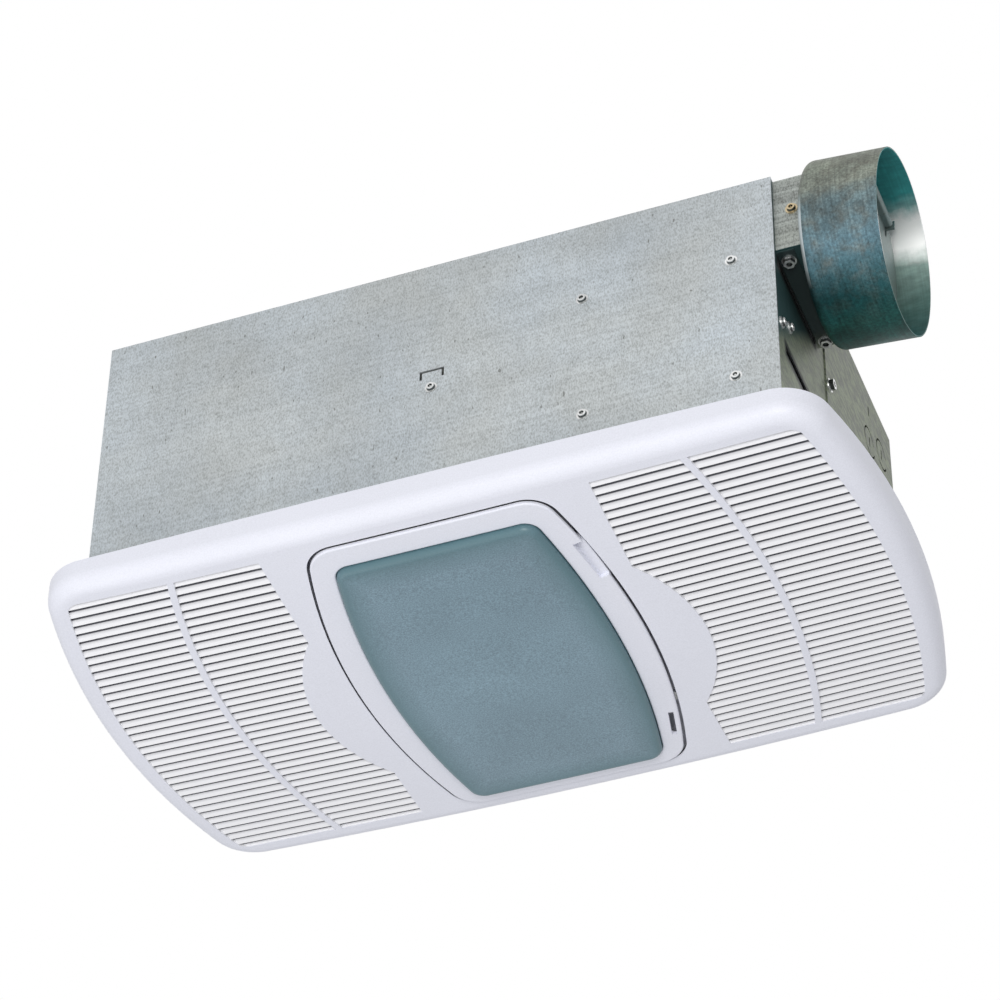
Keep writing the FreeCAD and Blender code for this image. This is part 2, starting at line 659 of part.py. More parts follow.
def make_wiring_plate():
    """A cover sheet on the end wall with two part-cut knockouts and a slot for a cable tie."""
    body = box(END_X, END_X + SHEET, PLATE_SEAM_Y, WALL_Y - PLATE_MARGIN, PLATE_FOOT, TOP_Z - PLATE_MARGIN)
    tools = [end_bore(*PLATE_SCREW, SCREW_HOLE_R)]
    for y, z in KNOCKOUTS:
        ring = end_bore(y, z, KNOCKOUT_R).cut(end_bore(y, z, KNOCKOUT_R - KNOCKOUT_CUT))
        bridge = end_cut(y, y + 2 * KNOCKOUT_R, z - KNOCKOUT_BRIDGE / 2, z + KNOCKOUT_BRIDGE / 2)
        tools.append(ring.cut(bridge))
    for y, z in KNOCKOUTS + [TIE_SLOT]:
        tools.append(end_cut(y - PRY_WIDTH / 2, y + PRY_WIDTH / 2, z - PRY_LENGTH / 2, z + PRY_LENGTH / 2))
    return body.cut(tools)


parts["housing_wrap"] = make_wrap()
parts["end_wall_left"] = end_pan(-1)
parts["end_wall_right"] = make_right_end()
parts["wiring_plate"] = make_wiring_plate()


def partition(x, foot_end):
    """A sheet wall across the housing whose foot turns out over the grille's bosses."""
    top = TOP_Z - SHEET
    wall = box(x, x + SHEET, -WALL_Y + SHEET, WALL_Y - SHEET, PARTITION_FOOT, top)
    x0, x1 = sorted((x, foot_end))
    foot = box(x0, x1, -WALL_Y + SHEET, WALL_Y - SHEET, PARTITION_FOOT, PARTITION_FOOT + SHEET)
    return wall.fuse(foot).removeSplitter().cut(grille_screw_holes(0, 2 * PARTITION_FOOT))


FOOT_MARGIN = 8.0
FOOT_X = ledge_x(GRILLE_SCREW_Y) + FOOT_MARGIN
parts["partition_left"] = partition(PARTITION_LEFT - SHEET, -FOOT_X)
parts["partition_right"] = partition(PARTITION_RIGHT, FOOT_X)

WIRING_X0 = 112.0
WIRING_Y0 = KNOCKOUTS[0][0] - 17
WIRING_Z0 = KNOCKOUTS[0][1] - 18
RECEPTACLES = 3
RECEPTACLE_INSET = 4.0
RECEPTACLE_PITCH = 19.0
RECEPTACLE_RISE = 12.0
RECEPTACLE_WIDTH = 14.0
RECEPTACLE_HEIGHT = 20.0
RECEPTACLE_DEPTH = 12.0
BLADE_SLOT_PITCH = 5.0
BLADE_SLOT_WIDTH = 1.2
BLADE_SLOT_HEIGHT = 8.0
BLADE_SLOT_DEPTH = 8.0


def make_wiring_box():
    x1, y1, z1 = END_X - SHEET, WALL_Y - 2 * SHEET, TOP_Z - 2 * SHEET
    body = box(WIRING_X0, x1, WIRING_Y0, y1, WIRING_Z0, z1)
    inside = box(WIRING_X0 + SHEET, END_X, WIRING_Y0 + SHEET, WALL_Y, WIRING_Z0 + SHEET, TOP_Z)
    flange_room = box(x1 - END_FLANGE - SHEET, END_X, y1 - SHEET, WALL_Y, WIRING_Z0 - SHEET, TOP_Z)
    return body.cut([inside, flange_room])


def make_receptacles():
    """Plug sockets on the wiring box's lamp side, one for each of the lamp, fan and heater."""
    x0 = WIRING_X0 - RECEPTACLE_DEPTH
    z0 = WIRING_Z0 + RECEPTACLE_RISE
    slot_z = z0 + (RECEPTACLE_HEIGHT - BLADE_SLOT_HEIGHT) / 2
    made = []
    for i in range(RECEPTACLES):
        y0 = WIRING_Y0 + RECEPTACLE_INSET + i * RECEPTACLE_PITCH
        block = box(x0, WIRING_X0, y0, y0 + RECEPTACLE_WIDTH, z0, z0 + RECEPTACLE_HEIGHT)
        for side in SIDES:
            y = y0 + RECEPTACLE_WIDTH / 2 + side * BLADE_SLOT_PITCH / 2 - BLADE_SLOT_WIDTH / 2
            block = block.cut(box(x0 - SHEET, x0 + BLADE_SLOT_DEPTH, y, y + BLADE_SLOT_WIDTH,
                                  slot_z, slot_z + BLADE_SLOT_HEIGHT))
        made.append(block)
    return Part.makeCompound(made)


parts["wiring_box"] = make_wiring_box()
parts["receptacles"] = make_receptacles()


# Duct outlet: a sheet neck, a tilted round collar, and a hinged back-draft flap with its seat.
def in_collar(shape):
    placed = shape.copy()
    placed.rotate(ORIGIN, Y_AXIS, COLLAR_TILT)
    placed.translate(COLLAR_ORIGIN)
    return placed


COLLAR_SCREW_X = END_X + 9.5
COLLAR_SCREW_Z = NECK_Z + 2


def make_neck():
    """A square sheet tube from the end wall to the collar's tilted back."""
    far = END_X + 2 * NECK_LENGTH
    tube = box(END_X, far, NECK_Y0, NECK_Y1, NECK_Z0, NECK_Z1)
    bore = box(END_X - SHEET, far + SHEET, NECK_Y0 + SHEET, NECK_Y1 - SHEET, NECK_Z0 + SHEET, NECK_Z1 - SHEET)
    reach = 2 * COLLAR_R
    beyond = in_collar(box(0, reach, -reach, reach, -reach, reach))
    collar_bore = y_rod(SCREW_HOLE_R, COLLAR_SCREW_X, COLLAR_SCREW_Z, NECK_Y0 - THROUGH, NECK_Y0 + THROUGH)
    return tube.cut([bore, beyond, collar_bore] + neck_bores())


COLLAR_WALL = SHEET
COLLAR_BORE_R = COLLAR_R - COLLAR_WALL
FLAP_X = COLLAR_LENGTH - FLAP_DEPTH
FLAP_PIN_RISE = 2.2
FLAP_PIN_X = FLAP_X + FLAP_WALL + FLAP_PIN_RISE
FLAP_EAR_Y = 20.0
FLAP_EAR_WALL = 1.2
FLAP_EAR_GAP = 0.8
FLAP_EAR_ROOT = 2.5
FLAP_EAR_TOP = 2.5
FLAP_NOTCH = 6.5
KNUCKLE_WALL = 0.8
SEAT_GAP = 0.4
PIN_REACH = FLAP_EAR_Y + FLAP_EAR_WALL + 1


def flap_rod(radius, half):
    """A rod on the flap's hinge line, in the collar's own axes."""
    return y_rod(radius, FLAP_PIN_X, FLAP_PIN_HEIGHT, -half, half)


def above(height):
    """Everything in the collar above a height over its axis, in the collar's own axes."""
    return box(0, COLLAR_LENGTH, -COLLAR_R, COLLAR_R, height, COLLAR_R)


def make_collar():
    body = Part.makeCylinder(COLLAR_R, COLLAR_LENGTH, ORIGIN, X_AXIS)
    body = body.makeFillet(COLLAR_EDGE_R, [e for e in body.Edges if e.BoundBox.XMax < 1e-6])
    hollow = Part.makeCylinder(COLLAR_BORE_R, COLLAR_LENGTH, V(COLLAR_WALL, 0, 0), X_AXIS)
    inner_r = COLLAR_EDGE_R - COLLAR_WALL
    hollow = hollow.makeFillet(inner_r, [e for e in hollow.Edges if e.BoundBox.XMax < COLLAR_WALL + 1e-6])
    half_y, half_z = NECK_WIDTH / 2 - SHEET, NECK_HEIGHT / 2 - SHEET
    passage = box(-SHEET, 2 * COLLAR_WALL, -half_y, half_y, -half_z - COLLAR_RISE, half_z - COLLAR_RISE)
    return in_collar(body.cut([hollow, passage]))


def make_seat():
    back = FLAP_X - SEAT_GAP - SHEET
    disc = Part.makeCylinder(COLLAR_BORE_R, SHEET, V(back, 0, 0), X_AXIS)
    hole = Part.makeCylinder(SEAT_HOLE_R, 3 * SHEET, V(back - SHEET, 0, 0), X_AXIS)
    z0, z1 = FLAP_PIN_HEIGHT - FLAP_EAR_ROOT, FLAP_PIN_HEIGHT + FLAP_EAR_TOP
    pieces = [disc.cut(hole.cut(above(z0)))]
    for side in SIDES:
        y0, y1 = sorted((side * FLAP_EAR_Y, side * (FLAP_EAR_Y + FLAP_EAR_WALL)))
        pieces.append(box(back, FLAP_PIN_X + FLAP_EAR_ROOT, y0, y1, z0, z1))
    return in_collar(fuse(pieces).cut(flap_rod(FLAP_PIN_R, PIN_REACH)))


def make_flap():
    disc = Part.makeCylinder(FLAP_R, FLAP_WALL, V(FLAP_X, 0, 0), X_AXIS)
    tools = [above(FLAP_PIN_HEIGHT)]
    reach = FLAP_EAR_Y - FLAP_EAR_GAP
    for side in SIDES:
        y0, y1 = sorted((side * reach, side * (FLAP_EAR_Y + FLAP_EAR_WALL + FLAP_EAR_GAP)))
        tools.append(box(0, COLLAR_LENGTH, y0, y1, FLAP_PIN_HEIGHT - FLAP_NOTCH, COLLAR_R))
    knuckle_r = FLAP_PIN_R + KNUCKLE_WALL
    web = box(FLAP_X, FLAP_PIN_X, -reach, reach, FLAP_PIN_HEIGHT - knuckle_r, FLAP_PIN_HEIGHT)
    body = fuse([disc.cut(tools), flap_rod(knuckle_r, reach), web])
    return in_collar(body.cut(flap_rod(FLAP_PIN_R + RUNNING_FIT, PIN_REACH)))


parts["outlet_neck"] = make_neck()
parts["duct_collar"] = make_collar()
parts["damper_seat"] = make_seat()
parts["damper_flap"] = make_flap()
parts["damper_pin"] = in_collar(flap_rod(FLAP_PIN_R, PIN_REACH))


# Screws that show: hex washer heads on the end wall, round washer heads on the front wall.
FRONT = (0, -1, 0)
OUT = (1, 0, 0)
DOWN = (0, 0, -1)
WASHER = 0.6
PAN_WASHER_R = 3.3
PAN_HEAD_R = 2.5
PAN_HEAD_TOP_R = 2.1
PAN_HEAD_HEIGHT = 2.2
PAN_RECESS_R = 1.2
PAN_RECESS_DEPTH = 1.7
PAN_LENGTH = 4.0
HEX_WASHER_R = 3.9
HEX_HEAD_R = 3.1
HEX_HEAD_HEIGHT = 3.0
HEX_RECESS_R = 1.6
HEX_RECESS_DEPTH = 1.4
HEX_LENGTH = 3.0


def driven(seat, direction, washer_r, head, recess, length):
    """A screw whose washer lies on seat; the head and its recess, made along Z, stand along direction."""
    seat, direction = V(*seat), V(*direction)
    washer, shank = z_rod(washer_r, 0, 0, 0, WASHER), z_rod(SCREW_R, 0, 0, -length, WASHER)
    upright = fuse([washer, shank, head]).cut(recess)
    upright.Placement = FreeCAD.Placement(seat, FreeCAD.Rotation(Z_AXIS, direction))
    return upright


def pan_screw(seat, direction):
    """A round head that tapers to a driving recess."""
    head = Part.makeCone(PAN_HEAD_R, PAN_HEAD_TOP_R, PAN_HEAD_HEIGHT)
    recess = z_rod(PAN_RECESS_R, 0, 0, PAN_HEAD_HEIGHT - PAN_RECESS_DEPTH, PAN_HEAD_HEIGHT)
    return driven(seat, direction, PAN_WASHER_R, head, recess, PAN_LENGTH)


def hex_screw(seat, direction):
    """A hexagon head with a sunk middle."""
    corners = [V(HEX_HEAD_R * cos(i * pi / 3), HEX_HEAD_R * sin(i * pi / 3), 0) for i in range(7)]
    head = Part.Face(Part.makePolygon(corners)).extrude(V(0, 0, HEX_HEAD_HEIGHT))
    recess = z_rod(HEX_RECESS_R, 0, 0, HEX_HEAD_HEIGHT - HEX_RECESS_DEPTH, HEX_HEAD_HEIGHT)
    return driven(seat, direction, HEX_WASHER_R, head, recess, HEX_LENGTH)


front_screws = [pan_screw((x, -WALL_Y, z), FRONT) for x, z in BLOWER_SCREWS]
end_screws = [pan_screw((END_X, y, z), OUT) for y, z in END_SCREWS]
parts["blower_screws"] = Part.makeCompound(front_screws + end_screws)
parts["bracket_screw"] = pan_screw((TAB_X, -WALL_Y, BRACKET_SCREW_Z), FRONT)
neck_screws = [hex_screw((NECK_SCREW_X, y, NECK_Z0 - SHEET), DOWN) for y in NECK_SCREW_Y]
parts["neck_screws"] = Part.makeCompound(neck_screws)
parts["wiring_plate_screw"] = hex_screw((END_X + SHEET, *PLATE_SCREW), OUT)
parts["collar_screw"] = pan_screw((COLLAR_SCREW_X, NECK_Y0, COLLAR_SCREW_Z), FRONT)


# Shaded-pole motors: a core, a coil, a rotor on its shaft and two bearing plates.
def motor_core():
    half = MOTOR_STACK / 2
    window_y0, window_y1 = CORE_WINDOW_Y
    body = box(-MOTOR_WIDTH / 2, MOTOR_WIDTH / 2, -CORE_BACK, CORE_FRONT, -half, half)
    window = box(-CORE_WINDOW_WIDTH / 2, CORE_WINDOW_WIDTH / 2, window_y0, window_y1, -half, half)
    leg = box(-CORE_LEG_WIDTH / 2, CORE_LEG_WIDTH / 2, window_y0, window_y1, -half, half)
    return body.cut(window.cut(leg)).cut(z_rod(ROTOR_R + ROTOR_GAP, 0, 0, -half, half))


def motor_coil():
    """A wound block with a hole for the core's leg."""
    y0, y1 = CORE_WINDOW_Y[0] + COIL_FIT, CORE_WINDOW_Y[1] - COIL_FIT
    x = CORE_LEG_WIDTH / 2 + COIL_FIT
    z = MOTOR_STACK / 2 + COIL_FIT
    body = box(-COIL_WIDTH / 2, COIL_WIDTH / 2, y0, y1, -COIL_HEIGHT / 2, COIL_HEIGHT / 2)
    return body.cut(box(-x, x, *CORE_WINDOW_Y, -z, z))


def motor_bearing():
    """The plate on the core's +Z side: a bar on two feet with a boss round the shaft."""
    foot_z = MOTOR_STACK / 2
    bar_z = foot_z + BEARING_RISE
    top = bar_z + BEARING_WALL
    x, y = MOTOR_WIDTH / 2, BEARING_WIDTH / 2
    bar = box(-x, x, -y, y, bar_z, top)
    feet = [box(-x, -x + BEARING_FOOT, -y, y, foot_z, top), box(x - BEARING_FOOT, x, -y, y, foot_z, top)]
    boss_z = bar_z - BEARING_BOSS_LENGTH / 2
    boss = z_rod(SHAFT_R + BEARING_BOSS_WALL, 0, 0, boss_z, boss_z + BEARING_BOSS_LENGTH)
    return fuse([bar, boss] + feet).cut(z_rod(SHAFT_R + RUNNING_FIT, 0, 0, 0, 2 * top))


def motor(place, shaft_below):
    """Motor pieces about the Z axis, with the core's middle at the origin, then placed."""
    half = MOTOR_STACK / 2
    bearing = motor_bearing()
    rotor = z_rod(ROTOR_R, 0, 0, -half, half).cut(z_rod(SHAFT_R, 0, 0, -half, half))
    shaft = z_rod(SHAFT_R, 0, 0, -shaft_below, SHAFT_ABOVE)
    bearings = Part.makeCompound([bearing, bearing.mirror(ORIGIN, Z_AXIS)])
    made = [motor_core(), motor_coil(), bearings, rotor, shaft]
    for shape in made:
        shape.Placement = place
    return made


SHAFT_ABOVE = 24.0
MOTOR_NODES = ("motor_core", "motor_coil", "motor_bearings", "motor_rotor", "motor_shaft")

# Exhaust blower: scroll, wheel, motor and the spider that carries the motor over the inlet.
SCROLL_Y0 = -WALL_Y + 2 * SHEET + 0.2
SCROLL_Y1 = SCROLL_Y0 + SCROLL_WIDTH
WHEEL_MARGIN = 6.0
WHEEL_Y0 = SCROLL_Y0 + WHEEL_MARGIN
WHEEL_Y1 = SCROLL_Y1 - WHEEL_MARGIN
WHEEL_PLATE = 1.2
WHEEL_HUB_WALL = 5.0
WHEEL_HUB_LENGTH = 14.0
WHEEL_RING = 2.0
BLADE_CHORD = 9.0
BLADE_WALL = 1.0
BLADE_LEAN = 35.0
SPIDER_WALL = 1.5
SPIDER_RISE = 13.0
SPIDER_RING_R = 19.0
SPIDER_BORE_R = 15.0
SPIDER_ARM_WIDTH = 10.0
SPIDER_ARMS = 3
SPIDER_FIRST_ANGLE = 30.0
SPIDER_FOOT_MARGIN = 8.0
MOTOR_Y = SCROLL_Y1 + SPIDER_RISE + SPIDER_WALL + MOTOR_STACK / 2
SCROLL_TOP = NECK_Z1 - SHEET
SCROLL_MOUTH = 12.0
CUTOFF_ANGLE = 40.0
FRONT_TO_Z = FreeCAD.Rotation(X_AXIS, -90)


def scroll_outline(grow, y):
    """Spiral from the cut-off, under and round to the top, then straight out to the neck."""
    def point(turn):
        radius = SCROLL_FIRST_R + SCROLL_GROWTH * turn / 90 + grow
        if turn > 269:
            radius = SCROLL_TOP - BLOWER_Z + grow
        angle = radians(-turn)
        return (BLOWER_X + radius * cos(angle), y, BLOWER_Z + radius * sin(angle))
    tip = radians(CUTOFF_ANGLE)
    tip_r = SCROLL_FIRST_R + grow
    lip = (BLOWER_X + tip_r * cos(tip), y, BLOWER_Z + tip_r * sin(tip))
    middle = (BLOWER_X + tip_r * cos(tip / 2), y, BLOWER_Z + tip_r * sin(tip / 2))
    out_x = END_X - SHEET
    top = SCROLL_TOP + grow
    floor = NECK_Z0 + SHEET - grow
    edges = [arc(lip, middle, point(0))]
    for turn in (0, 90, 180):
        edges.append(arc(point(turn), point(turn + 45), point(turn + 90)))
    edges.append(line(point(270), (out_x, y, top)))
    edges.append(line((out_x, y, top), (out_x, y, floor)))
    edges.append(line((out_x, y, floor), (lip[0], y, floor)))
    edges.append(line((lip[0], y, floor), lip))
    return Part.Face(Part.Wire(edges))


def make_scroll():
    y0, y1 = SCROLL_Y0 + SCROLL_WALL, SCROLL_Y1 - SCROLL_WALL
    body = scroll_outline(0, SCROLL_Y0).extrude(V(0, SCROLL_WIDTH, 0))
    hollow = scroll_outline(-SCROLL_WALL, y0).extrude(V(0, y1 - y0, 0))
    mouth_z0, mouth_z1 = NECK_Z0 + SHEET + SCROLL_WALL, SCROLL_TOP - SCROLL_WALL
    mouth = box(END_X - SHEET - SCROLL_MOUTH, END_X, y0, y1, mouth_z0, mouth_z1)
    inlet = y_rod(INLET_R, BLOWER_X, BLOWER_Z, y1 - SCROLL_WALL, SCROLL_Y1 + SCROLL_WALL)
    return body.cut([hollow, mouth, inlet] + front_bores(BLOWER_SCREWS, 2 * THROUGH))


def make_wheel():
    """Forward-curved wheel: a back plate with a hub, upright blades and a front ring."""
    width = WHEEL_Y1 - WHEEL_Y0
    inner_r = WHEEL_R - BLADE_CHORD
    plate = z_rod(WHEEL_R, 0, 0, 0, WHEEL_PLATE)
    hub = z_rod(SHAFT_R + WHEEL_HUB_WALL, 0, 0, 0, WHEEL_HUB_LENGTH)
    ring = z_rod(WHEEL_R, 0, 0, width - WHEEL_RING, width).cut(z_rod(inner_r, 0, 0, 0, width))
    blade = box(inner_r, WHEEL_R, -BLADE_WALL / 2, BLADE_WALL / 2, WHEEL_PLATE / 2, width - WHEEL_RING / 2)
    blade.rotate(V(inner_r + BLADE_CHORD / 2, 0, 0), Z_AXIS, BLADE_LEAN)
    blade = blade.common(z_rod(WHEEL_R, 0, 0, 0, width))
    body = fuse([plate, hub, ring] + turned(blade, WHEEL_BLADES)).cut(z_rod(SHAFT_R, 0, 0, 0, width))
    body.Placement = FreeCAD.Placement(V(BLOWER_X, WHEEL_Y0, BLOWER_Z), FRONT_TO_Z)
    return body


def make_spider():
    """Arms from the inlet plate to a ring under the motor's core."""
    reach = INLET_R + SPIDER_FOOT_MARGIN
    half = SPIDER_ARM_WIDTH / 2
    ring = z_rod(SPIDER_RING_R, 0, 0, 0, SPIDER_WALL).cut(z_rod(SPIDER_BORE_R, 0, 0, 0, SPIDER_WALL))
    arm = box((SPIDER_RING_R + SPIDER_BORE_R) / 2, reach, -half, half, 0, SPIDER_WALL)
    arm = arm.fuse(box(reach - SPIDER_WALL, reach, -half, half, -SPIDER_RISE, SPIDER_WALL))
    arm.rotate(ORIGIN, Z_AXIS, SPIDER_FIRST_ANGLE)
    body = fuse([ring] + turned(arm, SPIDER_ARMS))
    body.Placement = FreeCAD.Placement(V(BLOWER_X, SCROLL_Y1 + SPIDER_RISE, BLOWER_Z), FRONT_TO_Z)
    return body


parts["blower_scroll"] = make_scroll()
parts["exhaust_wheel"] = make_wheel()
parts["motor_spider"] = make_spider()
fan_place = FreeCAD.Placement(V(BLOWER_X, MOTOR_Y, BLOWER_Z), FRONT_TO_Z)
for name, shape in zip(MOTOR_NODES, motor(fan_place, MOTOR_Y - WHEEL_Y0 - WHEEL_PLATE)):
    parts["exhaust_" + name] = shape

# Heater: a duct across the left bay, a sheathed element, an axial fan and a motor on a bridge above it.
HEATER_X0 = -END_X + END_FLANGE
HEATER_X1 = PARTITION_LEFT - SHEET
HEATER_HALF_Y = 62.0
HEATER_FOOT = 14.0
ORIFICE_GAP = 3.0
ORIFICE_R = HEATER_FAN_R + ORIFICE_GAP
HEATER_FAN_Z = HEATER_TOP + 1
HEATER_HUB_WALL = 8.0
HEATER_HUB_LENGTH = 14.0
HEATER_BLADE_WIDTH = 26.0
HEATER_BLADE_WALL = 1.6
HEATER_BLADE_TWIST = 25.0
HEATER_SHAFT_PAST = 2.0
HEATER_MOTOR_Z = HEATER_TOP + 38
ELEMENT_RISE = 22.0
BRIDGE_WIDTH = 40.0
BRIDGE_INSET = 4.0
BRIDGE_Z = HEATER_MOTOR_Z - MOTOR_STACK / 2
BRIDGE_HOLE_R = 16.0
BRIDGE_WINDOW_GAP = 1.0
CUTOUT_R = 9.0
CUTOUT_DEPTH = 8.0
CUTOUT_DROP = 18.0
CUTOUT_TAB_PITCH = 10.0
CUTOUT_TAB_WIDTH = 6.0
CUTOUT_TAB_LENGTH = 7.0
CUTOUT_TAB_WALL = 0.8


def make_heater_duct():
    body = box(HEATER_X0, HEATER_X1, -HEATER_HALF_Y, HEATER_HALF_Y, HEATER_FOOT, HEATER_TOP)
    inner_y = HEATER_HALF_Y - SHEET
    hollow = box(HEATER_X0 + SHEET, HEATER_X1 - SHEET, -inner_y, inner_y, 0, HEATER_TOP - SHEET)
    return body.cut([hollow, z_rod(ORIFICE_R, HEATER_X, 0, HEATER_FOOT, HEATER_TOP + SHEET)])


def make_element():
    """One serpentine rod: straight passes along Y joined by half-circle bends."""
    first = HEATER_X - ELEMENT_PITCH * (ELEMENT_PASSES - 1) / 2
    reach = HEATER_HALF_Y - SHEET - ELEMENT_PITCH
    z = HEATER_FOOT + ELEMENT_RISE
    tail = HEATER_HALF_Y - SHEET
    edges = []
    for i in range(ELEMENT_PASSES):
        x = first + i * ELEMENT_PITCH
        side = 1 if i % 2 else -1
        start = -side * reach
        if i == 0:
            start = tail
        end = side * reach
        if i == ELEMENT_PASSES - 1:
            end = tail if side > 0 else -tail
        edges.append(line((x, start, z), (x, end, z)))
        if i < ELEMENT_PASSES - 1:
            bend = side * (reach + ELEMENT_PITCH / 2)
            edges.append(arc((x, end, z), (x + ELEMENT_PITCH / 2, bend, z), (x + ELEMENT_PITCH, end, z)))
    path = Part.Wire(edges)
    section = Part.Wire([Part.makeCircle(ELEMENT_R, V(first, tail, z), Y_AXIS)])
    return path.makePipeShell([section], True, False)


def make_heater_fan():
    hub_r = SHAFT_R + HEATER_HUB_WALL
    half = HEATER_HUB_LENGTH / 2
    hub = z_rod(hub_r, 0, 0, -half, half)
    blade = box(hub_r - HEATER_HUB_WALL / 2, HEATER_FAN_R, -HEATER_BLADE_WIDTH / 2, HEATER_BLADE_WIDTH / 2,
                -HEATER_BLADE_WALL / 2, HEATER_BLADE_WALL / 2)
    blade.rotate(ORIGIN, X_AXIS, HEATER_BLADE_TWIST)
    blade = blade.common(z_rod(HEATER_FAN_R, 0, 0, -HEATER_BLADE_WIDTH, HEATER_BLADE_WIDTH))
    body = fuse([hub] + turned(blade, HEATER_FAN_BLADES)).cut(z_rod(SHAFT_R, 0, 0, -2 * half, 2 * half))
    body.translate(V(HEATER_X, 0, HEATER_FAN_Z))
    return body


def make_bridge():
    """A strap with legs on the duct's top that carries the heater motor."""
    half_y = HEATER_HALF_Y - BRIDGE_INSET
    x0, x1 = HEATER_X - BRIDGE_WIDTH / 2, HEATER_X + BRIDGE_WIDTH / 2
    low = BRIDGE_Z - SPIDER_WALL
    pieces = [box(x0, x1, -half_y, half_y, low, BRIDGE_Z)]
    for side in SIDES:
        y0, y1 = sorted((side * half_y, side * (half_y - SPIDER_WALL)))
        pieces.append(box(x0, x1, y0, y1, HEATER_TOP, BRIDGE_Z))
    hole = z_rod(BRIDGE_HOLE_R, HEATER_X, 0, low, BRIDGE_Z)
    half_x = COIL_WIDTH / 2 + BRIDGE_WINDOW_GAP
    y0, y1 = CORE_WINDOW_Y[0] - BRIDGE_WINDOW_GAP, CORE_WINDOW_Y[1] + BRIDGE_WINDOW_GAP
    coil_window = box(HEATER_X - half_x, HEATER_X + half_x, y0, y1, low, BRIDGE_Z)
    return fuse(pieces).cut([hole, coil_window])


def make_cutout():
    """A disc thermostat with two terminals on the duct's wall."""
    y0, z = HEATER_HALF_Y, HEATER_TOP - CUTOUT_DROP
    y1 = y0 + CUTOUT_DEPTH
    pieces = [y_rod(CUTOUT_R, HEATER_X, z, y0, y1)]
    for side in SIDES:
        x0 = HEATER_X + side * CUTOUT_TAB_PITCH / 2 - CUTOUT_TAB_WIDTH / 2
        pieces.append(box(x0, x0 + CUTOUT_TAB_WIDTH, y1 - CUTOUT_TAB_WALL, y1 + CUTOUT_TAB_LENGTH,
                          z - CUTOUT_TAB_WALL / 2, z + CUTOUT_TAB_WALL / 2))
    return fuse(pieces)


parts["heater_duct"] = make_heater_duct()
parts["heating_element"] = make_element()
parts["heater_fan"] = make_heater_fan()
parts["heater_bridge"] = make_bridge()
parts["heater_cutout"] = make_cutout()
heater_place = FreeCAD.Placement(V(HEATER_X, 0, HEATER_MOTOR_Z), FreeCAD.Rotation())
shaft_drop = HEATER_MOTOR_Z - HEATER_FAN_Z + HEATER_HUB_LENGTH / 2 + HEATER_SHAFT_PAST
for name, shape in zip(MOTOR_NODES, motor(heater_place, shaft_drop)):
    parts["heater_" + name] = shape

# Lamp: a folded reflector on a strap, two sockets and two bulbs.
REFLECTOR_FIT = 0.5
REFLECTOR_X0 = PARTITION_LEFT + REFLECTOR_FIT
REFLECTOR_X1 = PARTITION_RIGHT - REFLECTOR_FIT
REFLECTOR_FOOT = PARTITION_FOOT + 6
SOCKET_R = 15.0
SOCKET_LENGTH = 22.0
SOCKET_DEPTH = 14.0
STRAP_WIDTH = 24.0
STRAP_FOOT = 8.0


def make_reflector():
    y = REFLECTOR_HALF_LENGTH
    inner_y = y - SHEET
    body = box(REFLECTOR_X0, REFLECTOR_X1, -y, y, REFLECTOR_FOOT, REFLECTOR_TOP)
    hollow = box(REFLECTOR_X0 + SHEET, REFLECTOR_X1 - SHEET, -inner_y, inner_y, 0, REFLECTOR_TOP - SHEET)
    return body.cut(hollow)


def make_strap():
    """Strap over the reflector with a turned-down end on each long wall and a window behind the tab."""
    x0, x1 = TAB_X - STRAP_WIDTH / 2, TAB_X + STRAP_WIDTH / 2
    y = WALL_Y - SHEET
    z1 = REFLECTOR_TOP + SHEET
    pieces = [box(x0, x1, -y, y, REFLECTOR_TOP, z1)]
    for side in SIDES:
        y0, y1 = sorted((side * y, side * (y - SHEET)))
        pieces.append(box(x0, x1, y0, y1, BRACKET_SCREW_Z - STRAP_FOOT, z1))
    room = TAB_WIDTH / 2 + TAB_ROOM
    z0 = TAB_Z - TAB_HEIGHT - TAB_ROOM
    window = box(TAB_X - room, TAB_X + room, -y, -y + SHEET, z0, TAB_Z + TAB_ROOM / 2)
    return fuse(pieces).cut([window] + front_bores([BRACKET_SCREW], THROUGH))


def make_bulb(side):
    """A pear-shaped bulb whose cap is seated in a socket: a neck, a cone and a globe."""
    base = REFLECTOR_HALF_LENGTH - SHEET - SOCKET_LENGTH
    globe = V(LAMP_X, side * (base - BULB_SHOULDER), LAMP_Z)
    toward_cap = V(0, side, 0)
    neck = Part.makeCylinder(BULB_NECK_R, SOCKET_DEPTH, V(LAMP_X, side * base, LAMP_Z), toward_cap)
    cone = Part.makeCone(BULB_R, BULB_NECK_R, BULB_SHOULDER, globe, toward_cap)
    return fuse([neck, cone, Part.makeSphere(BULB_R, globe)])


def make_socket(side):
    end = side * (REFLECTOR_HALF_LENGTH - SHEET)
    mouth = side * (REFLECTOR_HALF_LENGTH - SHEET - SOCKET_LENGTH)
    bottom = mouth + side * SOCKET_DEPTH
    return y_rod(SOCKET_R, LAMP_X, LAMP_Z, end, mouth).cut(y_rod(BULB_NECK_R, LAMP_X, LAMP_Z, bottom, mouth))


parts["reflector"] = make_reflector()
parts["reflector_strap"] = make_strap()
parts["lamp_sockets"] = Part.makeCompound([make_socket(s) for s in SIDES])
parts["bulbs"] = Part.makeCompound([make_bulb(s) for s in SIDES])

os.makedirs("parts", exist_ok=True)
for name, shape in parts.items():
    if not shape.isValid():
        print("check", name, "is not a valid shape")
    shape.exportStep("parts/" + name + ".step")
    print(name, len(shape.Solids), round(shape.Volume / 1000.0, 2), "cm3")
damper_axis = in_collar(Part.Vertex(FLAP_PIN_X, 0, FLAP_PIN_HEIGHT)).Point
print("hinge", round(HINGE_X, 3), round(HINGE_Z, 3), "damper axis", damper_axis)
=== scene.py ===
import json
import math

